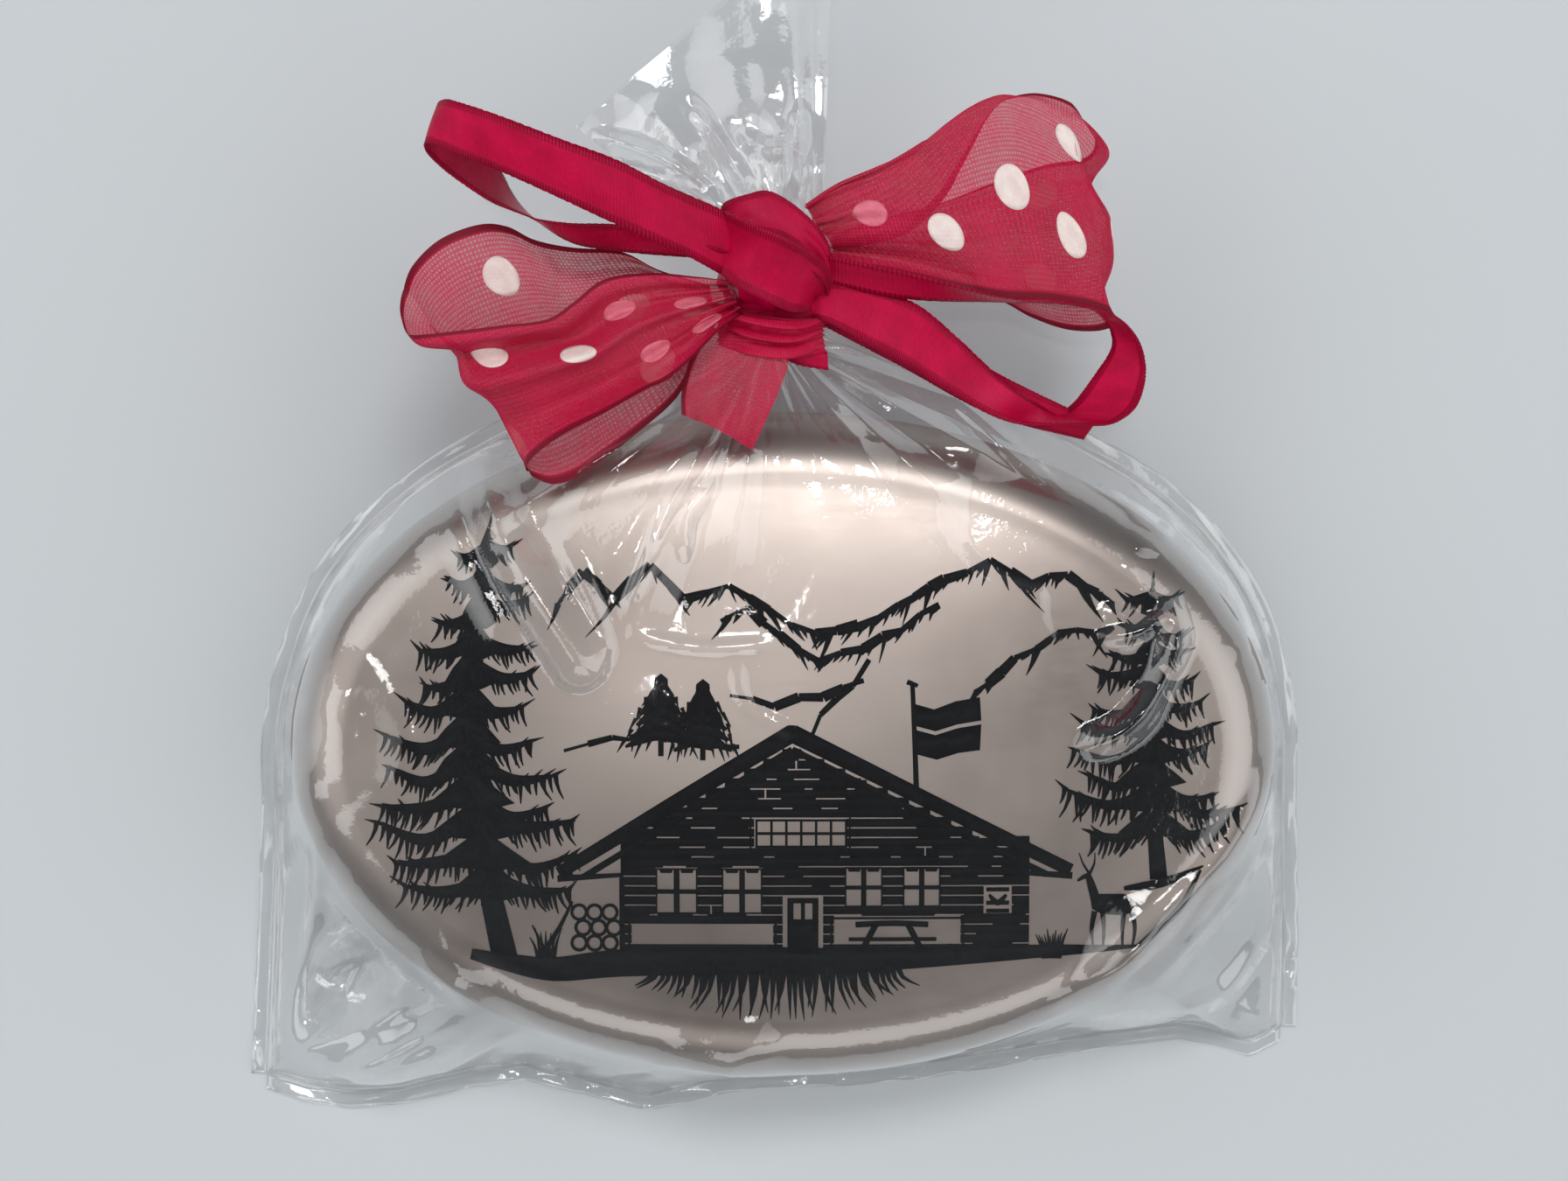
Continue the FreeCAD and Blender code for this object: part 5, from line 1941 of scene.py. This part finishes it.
KNOT_BACK = [
    (0.0, [(-4.5, 39.1, 20.0), (-4.2, 39.9, 20.9), (-2.6, 40.4, 21.5), (-0.9, 40.6, 21.7),
           (1.3, 39.3, 21.6), (3.1, 37.5, 21), (3.8, 35.7, 19.8), (3.8, 34.2, 18)]),
    (1.0, [(-3.6, 37.2, 21.6), (-2.4, 36.8, 22.4), (-0.8, 36.2, 22.7), (0.6, 35.6, 22.6),
           (1.9, 34.9, 22.1), (2.7, 34.3, 21.3), (3.2, 33.8, 20.3), (3.3, 33.2, 18.8)])]
ORGANZA_TAIL = [
    (0.0, [(-5.0, 31.0, 18.0), (-6.4, 29.4, 17.8), (-7.1, 27.8, 17.8), (-7.4, 26.2, 17.8),
           (-7.4, 24.6, 18.0)]),
    (0.5, [(-2.2, 30.9, 18.8), (-3.2, 29.0, 18.6), (-4.0, 27.2, 18.5), (-4.5, 25.3, 18.6),
           (-4.8, 23.5, 18.8)]),
    (1.0, [(0.4, 30.4, 18.4), (0.4, 28.4, 18.2), (-0.3, 26.3, 18.3), (-1.3, 24.0, 18.5),
           (-2.2, 22.0, 18.8)])]
ORGANZA_BUNCH = [
    (0.0, [(-5.4, 33.0, 19.0), (-2.6, 31.9, 20.4), (0.6, 31.4, 20.4), (3.4, 31.8, 18.6)]),
    (1.0, [(-4.8, 29.8, 17.6), (-2.2, 28.9, 18.6), (0.6, 28.6, 18.6), (3.2, 29.4, 17.2)])]
SATIN_END_RIGHT = [
    (0.0, [(2.6, 34.8, 17.6), (10.0, 31.0, 17.0), (17.0, 27.2, 16.8), (23.3, 24.2, 16.6)]),
    (1.0, [(1.2, 32.2, 17.4), (8.6, 28.4, 16.8), (15.6, 24.7, 16.4), (22.4, 22.9, 16.2)])]
SATIN_END_FRONT = [
    (0.0, [(0.2, 30.6, 17.6), (1.6, 29.9, 17.4), (3.3, 29.3, 17.2)]),
    (1.0, [(-0.6, 29.2, 17.4), (1.1, 28.4, 17.2), (3.4, 28.0, 17.0)])]


@dataclass
class Bow:
    """The double bow: a wide sheer ribbon and a narrow satin one, tied round the neck in one knot."""

    finishes: Finishes

    def build(self) -> None:
        """Makes the loops, the knot and the cut ends."""
        self.sheer_loops(self.sheer_ends())
        self.satin_loops()
        self.satin_ends()
        self.turns()
        self.knot()

    def sheer_loops(self, ends: Sequence[Piece]) -> None:
        """The two wide loops with their dots.

        Args:
            ends: the same ribbon's cut end and its gathers in the knot.
        """
        left = Ribbon("organza_left", ORGANZA_LEFT, ORGANZA_WIDTH, 180, 48, gathers=2, bulge=0.5,
                      ripple=0.35, seed=2)
        right = Ribbon("organza_right", ORGANZA_RIGHT, ORGANZA_WIDTH, 180, 48, gathers=2, bulge=0.2,
                       ripple=0.3, seed=5)
        for ribbon, node, places, veiled in (
                (left, "organza_loop_left", DOTS_LEFT, VEILED_LEFT),
                (right, "organza_loop_right", DOTS_RIGHT, VEILED_RIGHT)):
            cloth = ribbon.build(self.finishes.organza, Slot.ORGANZA, (node,))
            more = [ribbon.dots(ribbon.name + "_dots", self.finishes.dots, places),
                    ribbon.dots(ribbon.name + "_veiled_dots", self.finishes.veiled, veiled)]
            if ribbon is left:
                more += ends

    def satin_loops(self) -> None:
        """The two narrow loops."""
        for name, rails, node, seed in (("satin_left", SATIN_LEFT, "satin_loop_left", 3),
                                        ("satin_right", SATIN_RIGHT, "satin_loop_right", 4)):
            self.satin(Ribbon(name, rails, SATIN_WIDTH, 300, 8, bulge=0.08, ripple=0.12,
                              picot=0.07, seed=seed), (node,))

    def satin(self, ribbon: Ribbon, nodes: Sequence[str] = ()) -> None:
        """Makes a stretch of the narrow ribbon, which stands for the given CAD nodes."""
        ribbon.build(self.finishes.satin, Slot.SATIN, nodes, RIBBON_CLOTH)

    def sheer_ends(self) -> list[Piece]:
        """The wide ribbon's cut end and the gathers where it leaves the knot.

        Returns:
            The two pieces.
        """
        tail = Ribbon("organza_tail_cloth", ORGANZA_TAIL, 9.0, 60, 24, gathers=1,
                      gather_fill=0.25, ripple=0.3, seed=8)
        bunch = Ribbon("organza_bunch", ORGANZA_BUNCH, 9.0, 60, 30, gathers=3, bulge=0.5, seed=11)
        return [tail.build(self.finishes.organza, Slot.ORGANZA, ("organza_tail",)),
                bunch.build(self.finishes.gathered, Slot.ORGANZA)]

    def satin_ends(self) -> None:
        """The narrow ribbon's two cut ends."""
        for name, rails, along, node, seed in (
                ("satin_end_right", SATIN_END_RIGHT, 120, "satin_tail_right", 9),
                ("satin_end_front", SATIN_END_FRONT, 50, "satin_tail_front", 10)):
            self.satin(Ribbon(name, rails, SATIN_WIDTH, along, 8, ripple=0.1, picot=0.05,
                              seed=seed), (node,))

    def turns(self) -> None:
        """The ribbons wound round the neck below the knot."""
        for name, start, width, radius, material, slot, node in (
                ("organza_round_neck", 32.6, 3.4, 3.5, self.finishes.gathered, Slot.ORGANZA,
                 "organza_turn"),
                ("satin_round_neck", 34.6, SATIN_WIDTH, 4.0, self.finishes.satin, Slot.SATIN,
                 "satin_turn")):
            bm = bmesh.new()
            flat = {}
            for vert, turn, over in unit_grid(bm, 120, 12):
                angle = 2 * math.pi * turn
                crease = 0.14 * math.sin(2 * math.pi * 2 * over + angle * 2)
                reach = radius + crease - 0.25 * abs(2 * over - 1) ** 2
                vert.co = (NECK_X + reach * math.cos(angle), start + width * over,
                           NECK_Z + reach * math.sin(angle))
                flat[vert] = (angle * radius, over * SATIN_WIDTH)
            lay_uv(bm, flat)
            bmesh.ops.remove_doubles(bm, verts=bm.verts, dist=0.001)
            bmesh.ops.recalc_face_normals(bm, faces=bm.faces)
            piece = finish_piece(bm, name, material, (node,))
            thicken(piece, "cloth", RIBBON_CLOTH)

    def lump(self, name: str, middle: Point, size: Point, seed: int) -> None:
        """Gathered cloth inside the knot, a closed pleated lump.

        Args:
            name: the piece's name.
            middle: its centre.
            size: half its width, length and depth.
            seed: which pleats.
        """
        bm = bmesh.new()
        bmesh.ops.create_uvsphere(bm, u_segments=72, v_segments=40, radius=1.0)
        flat = {}
        for vert in bm.verts:
            way = vert.co.copy()
            angle = math.atan2(way.y, way.x)
            pleat = 1 + 0.06 * math.sin(9 * angle + seed + 4 * way.z) * (1 - way.z ** 2)
            vert.co = Vector(middle) + Vector([a * b * pleat for a, b in zip(way, size)])
            flat[vert] = (angle * 4, 1.5 + 0.6 * way.z)
        lay_uv(bm, flat)
        finish_piece(bm, name, self.finishes.satin)

    def knot(self) -> None:
        """The lump of the knot and the bands over it."""
        self.lump("knot_core", (-0.7, 35.7, 18.2), (3.6, 3.8, 3.5), 2)
        self.lump("knot_gather", (-0.8, 32.2, 17.4), (3.7, 2.6, 2.2), 5)
        self.satin(Ribbon("knot_wrap", KNOT_WRAP, SATIN_WIDTH, 80, 20, bulge=0.55, picot=0.04,
                          seed=6), ("satin_knot",))
        self.satin(Ribbon("knot_back", KNOT_BACK, 4.6, 80, 30, gathers=2, gather_fill=0.5,
                          bulge=0.35, seed=7))


# ------------------------------------------------------------------ floor, light and camera


@dataclass
class Studio:
    """A pale table, soft lamps and the camera straight above."""

    floor_side: float = 6.0
    camera_height: float = 0.230
    camera_middle: Flat = (0.0001, 0.01165)
    lens: float = 65.94

    def build(self) -> None:
        """Places everything that isn't part of the object."""
        self.floor()
        self.lamp("key", (0.04, 0.32, 0.70), 0.24, 0.17, 1.7)
        self.lamp("left", (-0.72, 0.16, 0.62), 1.1, 0.9, 3.7)
        self.lamp("right", (0.72, -0.05, 0.62), 1.1, 0.9, 3.3)
        self.lamp("front", (0.05, -0.72, 0.50), 1.0, 0.4, 1.3)
        self.lamp("glint", (-0.05, 0.02, 0.85), 0.02, 0.02, 0.3)
        self.sky()
        self.camera()

    def floor(self) -> None:
        """The table top."""
        bm = bmesh.new()
        bmesh.ops.create_grid(bm, x_segments=1, y_segments=1, size=self.floor_side / 2)
        mesh = bpy.data.meshes.new("table_top")
        bm.to_mesh(mesh)
        bm.free()
        mesh.materials.append(FloorFinish().build())
        top = bpy.data.objects.new("table_top", mesh)
        bpy.context.scene.collection.objects.link(top)

    def lamp(self, name: str, place: Point, width: float, depth: float, power: float) -> None:
        """A rectangular lamp that faces the object.

        Args:
            name: the lamp's name.
            place: where it hangs, in metres.
            width: of its face.
            depth: of its face.
            power: in watts.
        """
        data = bpy.data.lights.new(name, "AREA")
        data.shape, data.size, data.size_y, data.energy = "RECTANGLE", width, depth, power
        lamp = bpy.data.objects.new(name, data)
        lamp.location = place
        lamp.rotation_euler = (-Vector(place)).to_track_quat("-Z", "Y").to_euler()
        bpy.context.scene.collection.objects.link(lamp)

    def sky(self) -> None:
        """An even pale grey all round."""
        world = bpy.data.worlds.new("studio")
        world.use_nodes = True
        background = world.node_tree.nodes["Background"]
        background.inputs["Color"].default_value = (0.93, 0.96, 1.0, 1.0)
        background.inputs["Strength"].default_value = 0.2
        bpy.context.scene.world = world

    def camera(self) -> None:
        """The camera looks straight down."""
        data = bpy.data.cameras.new("camera")
        data.lens, data.sensor_width = self.lens, 36.0
        data.clip_start, data.clip_end = 0.01, 20.0
        camera = bpy.data.objects.new("camera", data)
        camera.location = (*self.camera_middle, self.camera_height)
        bpy.context.scene.collection.objects.link(camera)
        bpy.context.scene.camera = camera


# ------------------------------------------------------------------ everything in order


def main() -> None:
    """Builds the object, then the studio round it."""
    logging.basicConfig(level=logging.INFO, format="%(name)s %(message)s")
    bpy.context.scene.view_settings.view_transform = "Standard"
    finishes = Finishes.build()
    soap = Soap(finishes=finishes)
    soap.build()
    Picture(soap, finishes).build()
    FilmBag(soap, finishes).build()
    Bow(finishes).build()
    Studio().build()


if __name__ == "__main__":
    main()
